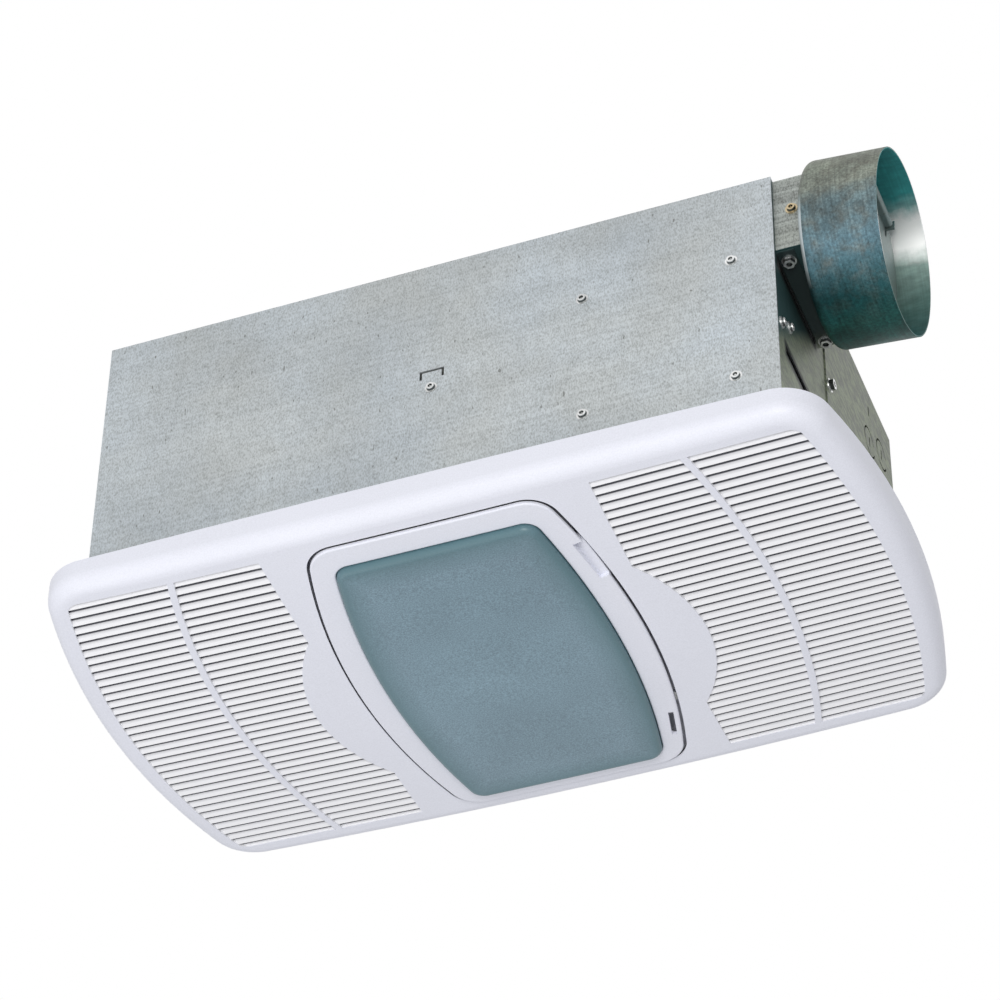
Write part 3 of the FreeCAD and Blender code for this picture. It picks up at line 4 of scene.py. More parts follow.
import bpy
import numpy as np
from bpy.props import FloatProperty, FloatVectorProperty, PointerProperty
from mathutils import Matrix, Vector


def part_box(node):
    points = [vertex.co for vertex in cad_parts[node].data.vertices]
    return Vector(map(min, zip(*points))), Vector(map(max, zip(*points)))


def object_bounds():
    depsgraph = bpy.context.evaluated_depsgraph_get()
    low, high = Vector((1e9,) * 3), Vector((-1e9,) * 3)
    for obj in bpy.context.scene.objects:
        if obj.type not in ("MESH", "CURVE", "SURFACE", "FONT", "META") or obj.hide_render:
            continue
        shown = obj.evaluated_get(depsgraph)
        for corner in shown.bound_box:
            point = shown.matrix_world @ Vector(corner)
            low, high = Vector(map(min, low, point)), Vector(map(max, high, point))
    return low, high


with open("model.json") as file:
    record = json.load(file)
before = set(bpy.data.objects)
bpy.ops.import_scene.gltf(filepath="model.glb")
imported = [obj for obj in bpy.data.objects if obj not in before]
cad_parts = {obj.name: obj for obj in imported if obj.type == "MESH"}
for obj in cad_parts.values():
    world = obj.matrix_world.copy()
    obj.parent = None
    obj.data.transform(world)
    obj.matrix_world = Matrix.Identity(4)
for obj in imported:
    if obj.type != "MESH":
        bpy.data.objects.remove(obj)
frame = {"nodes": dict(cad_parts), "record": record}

CAD_LOW, CAD_HIGH = [list(corner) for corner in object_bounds()]
NODES = frame["nodes"]

bl_info = {
    "name": "Ceiling Exhaust Fan Finish",
    "version": (1, 0, 0),
    "blender": (4, 5, 0),
    "location": "View3D > Sidebar > Fan",
    "description": "Dresses a ceiling exhaust fan with a light: zinc sheet, white moulding, frosted lens and its works",
    "category": "Object",
}

# View of the photograph, in degrees and metres: a long lens, below the unit and a little to its duct side.
VIEW_AZIMUTH = 21.52
VIEW_ELEVATION = -41.51
VIEW_ROLL = 0.9
VIEW_TARGET = (-0.00187, 0.0, 0.08773)
VIEW_DISTANCE = 1.9941
SENSOR = 36.0

# The two soft lights, each with its place, its aim and its width, and the floor far below the unit.
WHITE = (1.0, 1.0, 1.0)
KEY_LIGHT = ((0.60, -2.30, -1.05), (0, 0, 0.03), 0.9)
KEY_COLOUR = (1.0, 0.985, 0.955)
FILL_LIGHT = ((-0.9, -0.6, -1.3), (0, 0, 0), 1.2)
FLOOR_DROP = 2.4
FLOOR_REACH = 6.0
FLOOR_PAPER = (0.9, 0.9, 0.9)
FLOOR_ROUGHNESS = 0.9

# Zinc sheet: the scale, detail and roughness of each of its noises, the stretch of its flecks and rolling streaks, the
# share of each in the dark marks, and the colours of flecks and specks.
ZINC_TINT = (13.0, 3.0, 0.55)
ZINC_CLOUD = (9.0, 2.0, 0.5)
ZINC_FLECK = (1500.0, 2.0, 0.6)
ZINC_MOTTLE = (150.0, 4.0, 0.62)
ZINC_STREAK = (1.0, 3.0, 0.6)
ZINC_SPECK = (430.0, 1.0, 0.5)
FLECK_STRETCH = (1.0, 1.0, 0.42)
STREAK_STRETCH = (7.0, 130.0, 420.0)
FLECK_SHARE, MOTTLE_SHARE, SPECK_SHARE = 0.43, 0.12, 0.6
FLECK_COLOUR, SPECK_COLOUR = (0.13, 0.14, 0.13), (0.10, 0.10, 0.085)

# Sheets inside the housing: the cool and warm colours of their zinc, and the strength of its flecks.
INNER_ZINC = ((0.48, 0.52, 0.53), (0.47, 0.48, 0.44), 0.8)

# Moulded plastic and plain metal: the scale, detail and roughness of their noises, and the stretch of turning lines.
MOULDED_CLOUD = (18.0, 3.0, 0.5)
MOULDED_GRAIN = (1300.0, 2.0, 0.6)
METAL_SMUDGE = (70.0, 4.0, 0.6)
LINE_STRETCH = (0.08, 0.08, 1.0)
BUMP_REACH = 0.0002

# The lens: the lip behind the door frame, the bow of its long sides and the reach of the painted shade along its edge.
LENS_LIP = 0.004
LENS_BOW = 0.011
LENS_FADE = 0.017

# The louvred fields: their reach in plan and the bow of their outer ends, the lowest point and the rise of the crown
# that they follow, and the heights above a blade's edge between which a slot gets painted shade.
FIELD_REACH_X = (0.0865, 0.2095)
FIELD_REACH_Y = 0.1105
FIELD_END_BOW = 0.0185
CROWN_LOW = -0.0235
CROWN_RISE = 0.004
BLADE_SINK = 0.0003
LOUVRE_SHADE_FROM, LOUVRE_SHADE_MOST, LOUVRE_SHADE_FULL, LOUVRE_SHADE_TO = 0.00060, 0.00110, 0.00125, 0.00189

# The gap round the lens door: how far the opening reaches, how wide the door's frame is outside the lens, the depths
# between which the gap's walls get painted shade, and the reach of the finger pull, which is left unshaded.
GAP_REACH_X, GAP_REACH_Y = 0.0835, 0.1118
GAP_FRAME = 0.007
GAP_FROM, GAP_FULL, GAP_TO = 0.0003, 0.0006, 0.0018
PULL_REACH_Y = (-0.0760, -0.0440)

# The end wall under the duct: where the painted shadow of the collar on its upper part begins at the front edge, how
# steeply that shadow's line climbs, and how soft it is.
END_WALL_SHADOW_FROM = 0.047
END_WALL_SHADOW_CLIMB = 0.85
END_WALL_SHADOW_SOFT = 0.010

# Painted shade round the end wall's slots, given by their reach across and up, and on the scroll close behind them.
END_SLOTS = (((-0.0945, -0.0495), (0.0480, 0.0568)), ((-0.1015, -0.0375), (0.1030, 0.1100)))
SLOT_SOFT = 0.0028
SLOT_SHADE = (0.010, 0.012, 0.012)
SLOT_SHADE_REACH = 0.030

# Screws: the depths below the top of a head between which its recess and sides get painted shade, on pan heads and on
# hexagon heads, the colours, and the sides that the heads of each node face.
SCREW_LIP = 0.0004
PAN_SHADE, HEX_SHADE = 0.0015, 0.0023
SCREW_RECESS_SHADE = (0.10, 0.11, 0.11)
SCREW_ZINC = ((0.90, 0.91, 0.91), (0.62, 0.63, 0.63))
SCREW_BRASS = ((0.66, 0.55, 0.36), (0.34, 0.27, 0.17))
ZINC_HEADS = (("blower_screws", ("-Y", "+X"), PAN_SHADE), ("bracket_screw", ("-Y",), PAN_SHADE),
              ("neck_screws", ("-Z",), HEX_SHADE), ("wiring_plate_screw", ("+X",), HEX_SHADE))

# The duct collar: the thickness of its sheet, and where its inner side begins along the axis.
COLLAR_SHEET = 0.0008
COLLAR_BACK = -0.0185

# Zinc of the duct collar across its height, from the low back line to the high front line: painted shade and
# reflection outside, darker toward the low line, and a painted highlight band inside. The line between them leans
# forward and sways with the clouds.
COLLAR_LEAN = math.radians(44.0)
COLLAR_SWAY = 0.16
COLLAR_OUTSIDE = ((0.0, (0.014, 0.085, 0.078)), (0.14, (0.018, 0.102, 0.094)), (0.26, (0.014, 0.090, 0.098)),
                  (0.40, (0.044, 0.118, 0.142)), (0.55, (0.088, 0.162, 0.200)), (0.78, (0.150, 0.215, 0.230)),
                  (0.86, (0.205, 0.230, 0.200)), (1.0, (0.185, 0.210, 0.170)))
COLLAR_INSIDE = ((0.0, (0.025, 0.110, 0.110)), (0.15, (0.120, 0.220, 0.200)), (0.36, (0.27, 0.38, 0.35)),
                 (0.47, (1.0, 1.0, 1.0)), (0.61, (1.0, 1.0, 1.0)), (0.67, (0.22, 0.40, 0.40)),
                 (0.75, (0.050, 0.310, 0.320)), (1.0, (0.042, 0.310, 0.320)))
COLLAR_PATCHES = (0.105, 0.100, 0.080)
COLLAR_METALLIC, GLARE_METALLIC = 0.6, 0.4

# Noises of the collar, by scale, detail and roughness, and the stretch of its streaks and creases.
COLLAR_CLOUD = (55.0, 4.0, 0.6)
COLLAR_SPECKLE = (700.0, 3.0, 0.65)
COLLAR_PATCH = (95.0, 5.0, 0.62)
COLLAR_STREAK = (1.0, 2.0, 0.6)
COLLAR_CREASE = (1.0, 4.0, 0.6)
ROUND_STRETCH = (900.0, 40.0, 40.0)
CREASE_STRETCH = (90.0, 260.0, 260.0)

# The painted highlight on the bead at the collar's end by the neck: its colour, where it ends along the axis, and its
# reach inward.
COLLAR_BEAD_HIGHLIGHT = (0.52, 0.58, 0.60)
COLLAR_BEAD_END = -0.0206
COLLAR_BEAD_REACH = 0.0024

# Metals of both motors: the name, bright colour, dull colour and fineness of turning lines for each piece.
MOTOR_FINISHES = {
    "motor_core": ("lamination_steel", (0.20, 0.20, 0.21), (0.07, 0.07, 0.075), 2200.0),
    "motor_rotor": ("rotor_steel", (0.34, 0.34, 0.35), (0.16, 0.16, 0.17), 2200.0),
    "motor_shaft": ("shaft_steel", (0.70, 0.70, 0.71), (0.45, 0.45, 0.46), 900.0),
    "motor_bearings": ("bearing_alloy", (0.62, 0.62, 0.64), (0.40, 0.40, 0.42), 300.0),
}


def colour_prop(name, description, value):
    """A property that holds one colour."""
    return FloatVectorProperty(name=name, description=description, subtype="COLOR", size=3, min=0.0, max=1.0,
                               default=value)


class FanFinish(bpy.types.PropertyGroup):
    """Colours of the unit's finishes, as linear values."""

    zinc_cool: colour_prop("Zinc, cool", "Blue-grey clouds of the housing's zinc", (0.588, 0.646, 0.698))
    zinc_warm: colour_prop("Zinc, warm", "Straw-grey clouds of the housing's zinc", (0.575, 0.610, 0.625))
    # Painted shadow: this colour stands for the shade on the upper end wall in the lee of the duct and under the neck.
    end_wall: colour_prop("End wall", "Dull zinc of the end wall in the lee of the duct", (0.028, 0.068, 0.070))
    wiring_plate: colour_prop("Wiring plate", "Straw-grey zinc of the wiring plate", (0.262, 0.305, 0.205))
    collar_mottle: FloatProperty(name="Collar mottling", description="Strength of the clouds and streaks on the collar",
                                 default=1.6, min=0.0, max=2.0, subtype="FACTOR")
    moulding: colour_prop("Moulding", "White of the grille and the lens door", (0.81, 0.828, 0.922))
    # Painted highlight: the blade colour stands for the light on the blade faces.
    blades: colour_prop("Blades", "White of the louvre blades, wiped clean", (0.90, 0.905, 0.945))
    # Painted shade in the louvre slots.
    louvre_slot_shade: colour_prop("Slot dust", "Dust in the slots between the louvre blades", (0.070, 0.070, 0.085))
    # Painted shade in the gap round the lens door.
    gap: colour_prop("Door gap", "Dust and shade in the gap round the lens door", (0.045, 0.045, 0.050))
    lens: colour_prop("Lens", "Frosted lens away from its edge", (0.19, 0.285, 0.35))
    # Painted shade along the lens edge.
    lens_edge: colour_prop("Lens edge", "Frosted lens along its edge", (0.085, 0.172, 0.202))


class FanStage(bpy.types.PropertyGroup):
    """Camera and light levels."""

    focal: FloatProperty(name="Focal length", description="Lens of the photograph's view, in millimetres",
                         default=134.9, min=20.0, max=300.0, unit="CAMERA")
    ambient: FloatProperty(name="Ambient", description="Level of the light from all round", default=0.50, min=0.0,
                           max=1.0, subtype="FACTOR")
    key_power: FloatProperty(name="Key light", description="Power of the soft light in front", default=30.0, min=0.0,
                             subtype="POWER")
    fill_power: FloatProperty(name="Fill light", description="Power of the soft light below", default=6.0, min=0.0,
                              subtype="POWER")


def finish():
    """The scene's finishes."""
    return bpy.context.scene.fan_finish


def stage():
    """The scene's camera and light levels."""
    return bpy.context.scene.fan_stage


def mount(name):
    """A mount of the part's record, by its name."""
    return next(m for m in frame["record"]["mounts"] if m["name"] == name)


# Node helpers
def add(tree, kind, **values):
    """A node with its named input sockets and plain attributes set."""
    node = tree.nodes.new(kind)
    for key, value in values.items():
        if key in node.inputs:
            node.inputs[key].default_value = value
        else:
            setattr(node, key, value)
    return node


def link(tree, source, target):
    """Joins an output socket to an input socket."""
    tree.links.new(source, target)


def rgba(colour):
    """An opaque colour of four values."""
    return (*colour, 1.0)


def bands(tree, source, stops):
    """A colour ramp through (position, colour) stops."""
    node = tree.nodes.new("ShaderNodeValToRGB")
    elements = node.color_ramp.elements
    elements[0].position, elements[1].position = stops[0][0], stops[-1][0]
    elements[0].color, elements[1].color = rgba(stops[0][1]), rgba(stops[-1][1])
    for place, colour in stops[1:-1]:
        elements.new(place).color = rgba(colour)
    link(tree, source, node.inputs["Fac"])
    return node.outputs["Color"]


def ramp(tree, source, stops):
    """A grey ramp through (position, grey) stops."""
    return bands(tree, source, [(place, [grey] * 3) for place, grey in stops])


def maths(tree, operation, a, b):
    """One sum on two values, each a plain number or a socket."""
    node = add(tree, "ShaderNodeMath", operation=operation)
    for socket, value in zip(node.inputs, (a, b)):
        if isinstance(value, (int, float)):
            socket.default_value = value
        else:
            link(tree, value, socket)
    return node.outputs["Value"]


def product(tree, first, *others):
    """Values multiplied together."""
    for other in others:
        first = maths(tree, "MULTIPLY", first, other)
    return first


def size_of(tree, value):
    """A value without its sign."""
    return maths(tree, "ABSOLUTE", value, 0.0)


def around_one(tree, source, strength):
    """One plus a noise about zero, times a strength."""
    return maths(tree, "ADD", 1.0, product(tree, maths(tree, "SUBTRACT", source, 0.5), strength))


def between(tree, value, low, high, soft):
    """One between two limits, fading to zero outside them."""
    reach = high - low + 2 * soft
    share = maths(tree, "DIVIDE", maths(tree, "SUBTRACT", value, low - soft), reach)
    return ramp(tree, share, [(0.0, 0.0), (soft / reach, 1.0), (1.0 - soft / reach, 1.0), (1.0, 0.0)])


def vector(tree, operation, source, other=None):
    """One sum on a vector socket and, where it needs one, a plain vector."""
    node = add(tree, "ShaderNodeVectorMath", operation=operation)
    link(tree, source, node.inputs[0])
    if other is not None:
        node.inputs[1].default_value = other
    return node.outputs["Value" if operation in {"LENGTH", "DOT_PRODUCT"} else "Vector"]


def shaded(tree, colour, factor):
    """A colour made darker or lighter by a factor."""
    node = add(tree, "ShaderNodeVectorMath", operation="SCALE")
    link(tree, colour, node.inputs[0])
    link(tree, factor, node.inputs["Scale"])
    return node.outputs["Vector"]


def mixed(tree, factor, low, high):
    """A colour between two, by a factor; each may be a plain colour or a socket."""
    node = add(tree, "ShaderNodeMix", data_type="RGBA")
    link(tree, factor, node.inputs["Factor"])
    colour_sockets = [s for s in node.inputs if s.type == "RGBA"]
    for socket, value in zip(colour_sockets, (low, high)):
        if isinstance(value, bpy.types.NodeSocket):
            link(tree, value, socket)
        else:
            socket.default_value = rgba(value)
    return [s for s in node.outputs if s.type == "RGBA"][0]


def object_point(tree):
    """Object coordinates."""
    return tree.nodes.new("ShaderNodeTexCoord").outputs["Object"]


def object_place(tree):
    """Object coordinates, apart as X, Y and Z."""
    parts = tree.nodes.new("ShaderNodeSeparateXYZ")
    link(tree, object_point(tree), parts.inputs["Vector"])
    return parts.outputs


def scaled(tree, source, scale):
    """Object coordinates stretched by a scale in each direction."""
    node = add(tree, "ShaderNodeMapping", Scale=scale)
    link(tree, source, node.inputs["Vector"])
    return node.outputs["Vector"]


def noise(tree, place, scale, detail, rough):
    """Soft noise from zero to one."""
    node = add(tree, "ShaderNodeTexNoise", Scale=scale, Detail=detail, Roughness=rough)
    link(tree, place, node.inputs["Vector"])
    return node.outputs["Fac"]


# Places on the grille and the lens door
def crown_rise(tree, place):
    """Height above the lowest point of the grille's crown, less the crown's own rise at that place."""
    half_x, half_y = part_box("grille")[1][:2]
    rise = maths(tree, "SUBTRACT", place["Z"], CROWN_LOW)
    for axis, half in (("X", half_x), ("Y", half_y)):
        share = maths(tree, "POWER", maths(tree, "DIVIDE", size_of(tree, place[axis]), half), 2.0)
        rise = maths(tree, "SUBTRACT", rise, product(tree, share, CROWN_RISE))
    return rise


def lens_depth(tree, place):
    """Distance inside the bowed outline of the lens, less than zero outside it."""
    low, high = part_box("lens")
    half_x, half_y = (high[0] - low[0]) / 2 - LENS_LIP, (high[1] - low[1]) / 2 - LENS_LIP
    away_x = size_of(tree, place["X"])
    away_y = size_of(tree, maths(tree, "SUBTRACT", place["Y"], (low[1] + high[1]) / 2))
    bow = product(tree, maths(tree, "POWER", away_y, 2.0), LENS_BOW / half_y ** 2)
    side = maths(tree, "SUBTRACT", maths(tree, "SUBTRACT", half_x, bow), away_x)
    return maths(tree, "MINIMUM", side, maths(tree, "SUBTRACT", half_y, away_y))


def gap_shade(tree, place):
    """One on walls a little way into the gap round the door, zero on faces and further in."""
    depth = maths(tree, "DIVIDE", crown_rise(tree, place), GAP_TO)
    return ramp(tree, depth, [(0.0, 0.0), (GAP_FROM / GAP_TO, 0.0), (GAP_FULL / GAP_TO, 1.0), (0.99, 1.0), (1.0, 0.0)])


# Shared effects
def new_group(name, inputs):
    """A shader node group with value or colour inputs, which puts out a colour, a roughness and a height."""
    tree = bpy.data.node_groups.new(name, "ShaderNodeTree")
    kinds = {"value": "NodeSocketFloat", "colour": "NodeSocketColor"}
    for label, kind, value in inputs:
        socket = tree.interface.new_socket(label, in_out="INPUT", socket_type=kinds[kind])
        socket.default_value = rgba(value) if kind == "colour" else value
    for label, kind in (("Color", "colour"), ("Roughness", "value"), ("Height", "value")):
        tree.interface.new_socket(label, in_out="OUTPUT", socket_type=kinds[kind])
    start = tree.nodes.new("NodeGroupInput")
    end = tree.nodes.new("NodeGroupOutput")
    return tree, start.outputs, end.inputs, object_point(tree)


def zinc_group():
    """Zinc sheet: warm and cool clouds, soft mottling, upright flecks, rolling streaks and sparse dark specks."""
    tree, ins, outs, place = new_group(
        "zinc_sheet",
        [("Cool", "colour", (0.5, 0.5, 0.5)), ("Warm", "colour", (0.5, 0.5, 0.4)), ("Flecks", "value", 1.0),
         ("Streaks", "value", 0.10)])
    tint = ramp(tree, noise(tree, place, *ZINC_TINT), [(0.36, 0.0), (0.64, 1.0)])
    cloud = around_one(tree, noise(tree, place, *ZINC_CLOUD), 0.5)
    colour = shaded(tree, mixed(tree, tint, ins["Cool"], ins["Warm"]), cloud)
    upright = scaled(tree, place, FLECK_STRETCH)
    fleck = noise(tree, upright, *ZINC_FLECK)
    mottle = noise(tree, upright, *ZINC_MOTTLE)
    streak = noise(tree, scaled(tree, place, STREAK_STRETCH), *ZINC_STREAK)
    dark = product(tree, ramp(tree, fleck, [(0.30, 1.0), (0.58, 0.0)]), FLECK_SHARE)
    dark = maths(tree, "ADD", dark, product(tree, ramp(tree, mottle, [(0.32, 1.0), (0.66, 0.0)]), MOTTLE_SHARE))
    dark = maths(tree, "ADD", dark, product(tree, ramp(tree, streak, [(0.40, 1.0), (0.62, 0.0)]), ins["Streaks"]))
    colour = mixed(tree, product(tree, dark, ins["Flecks"]), colour, FLECK_COLOUR)
    speck = ramp(tree, noise(tree, upright, *ZINC_SPECK), [(0.735, 0.0), (0.775, 1.0)])
    colour = mixed(tree, product(tree, speck, ins["Flecks"], SPECK_SHARE), colour, SPECK_COLOUR)
    link(tree, colour, outs["Color"])
    link(tree, maths(tree, "ADD", 0.40, product(tree, mottle, 0.22)), outs["Roughness"])
    link(tree, maths(tree, "ADD", product(tree, mottle, 0.7), product(tree, fleck, 0.3)), outs["Height"])
    return tree


def grain_group():
    """Moulded plastic: a fine even grain with faint clouding."""
    tree, ins, outs, place = new_group(
        "moulded_grain",
        [("Base", "colour", (0.8, 0.8, 0.8)), ("Cloud", "value", 0.05), ("Gloss", "value", 0.45),
         ("Grain", "value", 0.2)])
    cloud = noise(tree, place, *MOULDED_CLOUD)
    fine = noise(tree, place, *MOULDED_GRAIN)
    level = product(tree, around_one(tree, cloud, ins["Cloud"]), around_one(tree, fine, ins["Grain"]))
    link(tree, shaded(tree, ins["Base"], level), outs["Color"])
    link(tree, maths(tree, "ADD", ins["Gloss"], product(tree, fine, 0.12)), outs["Roughness"])
    link(tree, fine, outs["Height"])
    return tree


def worn_metal_group():
    """Plain metal: fine turning lines and a few smudges, duller where they are faint."""
    tree, ins, outs, place = new_group(
        "worn_metal",
        [("Base", "colour", (0.6, 0.6, 0.6)), ("Dull", "colour", (0.3, 0.3, 0.3)), ("Lines", "value", 500.0)])
    smudge = noise(tree, place, *METAL_SMUDGE)
    turning = add(tree, "ShaderNodeTexNoise", Detail=1.0)
    link(tree, scaled(tree, place, LINE_STRETCH), turning.inputs["Vector"])
    link(tree, ins["Lines"], turning.inputs["Scale"])
    lines = turning.outputs["Fac"]
    level = maths(tree, "ADD", product(tree, smudge, 0.7), product(tree, lines, 0.3))
    shade = ramp(tree, level, [(0.34, 0.0), (0.62, 1.0)])
    link(tree, mixed(tree, shade, ins["Dull"], ins["Base"]), outs["Color"])
    link(tree, maths(tree, "SUBTRACT", 0.46, product(tree, shade, 0.16)), outs["Roughness"])
    link(tree, lines, outs["Height"])
    return tree


GROUPS = {}


def group(name):
    """A shared effect, built the first time that it is asked for."""
    makers = {"zinc_sheet": zinc_group, "moulded_grain": grain_group, "worn_metal": worn_metal_group}
    if name not in GROUPS:
        GROUPS[name] = makers[name]()
    return GROUPS[name]


# Materials
def surface(name, effect, values, bump, metallic=0.0):
    """A Principled material whose colour, roughness and bump come from one shared effect."""
    material = bpy.data.materials.new(name)
    material.use_nodes = True
    tree = material.node_tree
    shader = tree.nodes["Principled BSDF"]
    shader.inputs["Metallic"].default_value = metallic
    source = tree.nodes.new("ShaderNodeGroup")
    source.node_tree = group(effect)
    for key, value in values.items():
        source.inputs[key].default_value = value if isinstance(value, float) else rgba(value)
    link(tree, source.outputs["Color"], shader.inputs["Base Color"])
    link(tree, source.outputs["Roughness"], shader.inputs["Roughness"])
    relief = add(tree, "ShaderNodeBump", Strength=bump, Distance=BUMP_REACH)
    link(tree, source.outputs["Height"], relief.inputs["Height"])
    link(tree, relief.outputs["Normal"], shader.inputs["Normal"])
    return material


def zinc(name, cool, warm, flecks=1.0, metallic=0.45, streaks=0.10):
    """Zinc sheet."""
    values = {"Cool": cool, "Warm": warm, "Flecks": flecks, "Streaks": streaks}
    return surface(name, "zinc_sheet", values, 0.10, metallic)


def plain_metal(name, base, dull, lines=500.0):
    """Bare or plated metal."""
    return surface(name, "worn_metal", {"Base": base, "Dull": dull, "Lines": lines}, 0.05, 1.0)


def moulded(name, base, cloud=0.05, gloss=0.4, bump=0.08, grain=0.2):
    """Moulded plastic, and other smooth finishes with a fine grain."""
    return surface(name, "moulded_grain", {"Base": base, "Cloud": cloud, "Gloss": gloss, "Grain": grain}, bump)


def colour_of(material):
    """A material's nodes, its colour so far, and the socket that the colour goes into."""
    tree = material.node_tree
    base = tree.nodes["Principled BSDF"].inputs["Base Color"]
    return tree, base.links[0].from_socket, base


def dress(material, *names):
    """Gives a material to whole nodes."""
    for name in names:
        mesh = NODES[name].data
        mesh.materials.clear()
        mesh.materials.append(material)


def dress_motor(owner):
    """The same finishes on both motors' pieces."""
    for piece, (name, base, dull, lines) in MOTOR_FINISHES.items():
        dress(plain_metal(owner + "_" + name, base, dull, lines), owner + "_" + piece)
    dress(moulded(owner + "_coil_tape", (0.42, 0.24, 0.04), 0.3, 0.5), owner + "_motor_coil")


class FAN_OT_housing(bpy.types.Operator):
    """Zinc sheet of the housing wrap, end walls, partitions and wiring plate"""

    bl_idname = "fan.housing"
    bl_label = "Housing sheet"

    def execute(self, context):
        look = finish()
        dress(zinc("housing_zinc", look.zinc_cool, look.zinc_warm), "housing_wrap")
        dress(self.shadowed_end_wall(look), "end_wall_right")
        dress(zinc("plate_zinc", look.wiring_plate, look.wiring_plate, 1.1, streaks=0.6), "wiring_plate")
        dress(zinc("inner_zinc", *INNER_ZINC), "end_wall_left", "partition_left", "partition_right", "reflector_strap")
        return {"FINISHED"}

    def shadowed_end_wall(self, look):
        """Zinc like the wiring plate's below, a painted shadow of the collar above a line that climbs toward the back,
        and painted shade round the slots.
        """
        material = zinc("end_wall_shadowed_zinc", look.wiring_plate, look.wiring_plate, 1.1, 0.3, 0.5)
        tree, bright, base = colour_of(material)
        place = object_place(tree)
        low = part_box("end_wall_right")[0]
        line = product(tree, maths(tree, "SUBTRACT", place["Y"], low[1]), END_WALL_SHADOW_CLIMB)
        above = maths(tree, "SUBTRACT", maths(tree, "SUBTRACT", place["Z"], END_WALL_SHADOW_FROM), line)
        # Painted shadow of the collar: none below the climbing line, full above it.
        dull = ramp(tree, maths(tree, "DIVIDE", above, END_WALL_SHADOW_SOFT), [(0.0, 0.0), (1.0, 1.0)])
        colour = mixed(tree, dull, bright, look.end_wall)
        for across, up in END_SLOTS:
            # Painted shade round each slot.
            slot_shading = product(tree, between(tree, place["Y"], *across, SLOT_SOFT),
                            between(tree, place["Z"], *up, SLOT_SOFT))
            colour = mixed(tree, slot_shading, colour, SLOT_SHADE)
        link(tree, colour, base)
        return material


class FAN_OT_outlet(bpy.types.Operator):
    """Neck, collar and back-draft flap of the duct outlet"""

    bl_idname = "fan.outlet"
    bl_label = "Duct outlet"

    def execute(self, context):
        look = finish()
        dress(self.collar(look), "duct_collar")
        dress(self.neck(look), "outlet_neck")
        dress(zinc("flap_zinc", (0.20, 0.27, 0.28), (0.26, 0.30, 0.28), 0.8, 0.7), "damper_flap", "damper_seat")
        dress(plain_metal("flap_pin", (0.56, 0.56, 0.56), (0.30, 0.30, 0.30)), "damper_pin")
        return {"FINISHED"}

    def neck(self, look):
        """Streaked zinc, with painted shade on the neck's underside."""
        material = zinc("neck_zinc", (0.47, 0.51, 0.50), (0.43, 0.46, 0.42), 1.2, streaks=0.35)
        tree, bright, base = colour_of(material)
        below = maths(tree, "LESS_THAN", object_place(tree)["Z"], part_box("outlet_neck")[0][2] + COLLAR_SHEET / 2)
        # Painted shade below the neck's lowest edge.
        link(tree, mixed(tree, below, bright, look.end_wall), base)
        return material

    def collar(self, look):
        """Rolled zinc with painted shade, reflection and highlights that follow the height, with an inner side told
        apart by its distance from the axis.
        """
        material = zinc("collar_zinc", (0.2, 0.2, 0.2), (0.2, 0.2, 0.2), 0.8, COLLAR_METALLIC)
        tree = material.node_tree
        shader = tree.nodes["Principled BSDF"]
        spigot = mount("duct_spigot")
        axis, centre = Vector(spigot["axis"]), Vector(spigot["pos_m"])
        radius = spigot["dims"]["r_mm"] / 1000
        place = object_point(tree)
        offset = vector(tree, "SUBTRACT", place, centre)
        reach = vector(tree, "LENGTH", vector(tree, "CROSS_PRODUCT", offset, axis))
        along = vector(tree, "DOT_PRODUCT", offset, axis)
        rise = vector(tree, "DOT_PRODUCT", offset, (0, -math.sin(COLLAR_LEAN), math.cos(COLLAR_LEAN)))
        cloud = noise(tree, place, *COLLAR_CLOUD)
        height = maths(tree, "ADD", maths(tree, "DIVIDE", rise, 2 * radius), 0.5)
        height = maths(tree, "ADD", height, product(tree, maths(tree, "SUBTRACT", cloud, 0.5), COLLAR_SWAY))
        streak = noise(tree, scaled(tree, place, ROUND_STRETCH), *COLLAR_STREAK)

        speckle = noise(tree, place, *COLLAR_SPECKLE)
        mottle = product(tree, *(around_one(tree, mark, share * look.collar_mottle)
                                 for mark, share in ((cloud, 1.1), (speckle, 1.2), (streak, 0.7))))
        patch = product(tree, ramp(tree, noise(tree, place, *COLLAR_PATCH), [(0.46, 0.0), (0.66, 0.55)]),
                        ramp(tree, height, [(0.12, 0.15), (0.45, 1.0)]))
        outside = shaded(tree, mixed(tree, patch, bands(tree, height, COLLAR_OUTSIDE), COLLAR_PATCHES), mottle)
        # Painted highlight along the bead at the collar's end.
        bead_highlight = product(tree, maths(tree, "LESS_THAN", along, COLLAR_BEAD_END),
                       ramp(tree, height, [(0.34, 0.0), (0.46, 1.0), (0.72, 1.0), (0.85, 0.0)]),
                       maths(tree, "GREATER_THAN", reach, radius - COLLAR_BEAD_REACH))
        outside = mixed(tree, bead_highlight, outside, COLLAR_BEAD_HIGHLIGHT)

        crease = noise(tree, scaled(tree, place, CREASE_STRETCH), *COLLAR_CREASE)
        lit = bands(tree, height, COLLAR_INSIDE)
        creased = shaded(tree, shaded(tree, lit, around_one(tree, streak, 0.5)), around_one(tree, crease, 1.1))
        # Painted highlight band on the inner side.
        inside_highlight = ramp(tree, height, [(0.38, 0.0), (0.46, 1.0), (0.62, 1.0), (0.67, 0.0)])
        inside = mixed(tree, inside_highlight, creased, lit)
        is_inside = product(tree, maths(tree, "LESS_THAN", reach, radius - COLLAR_SHEET / 2),
                            maths(tree, "GREATER_THAN", along, COLLAR_BACK))
        link(tree, mixed(tree, is_inside, outside, inside), shader.inputs["Base Color"])
        glare = product(tree, is_inside, inside_highlight, GLARE_METALLIC)
        link(tree, maths(tree, "ADD", COLLAR_METALLIC, glare), shader.inputs["Metallic"])
        return material


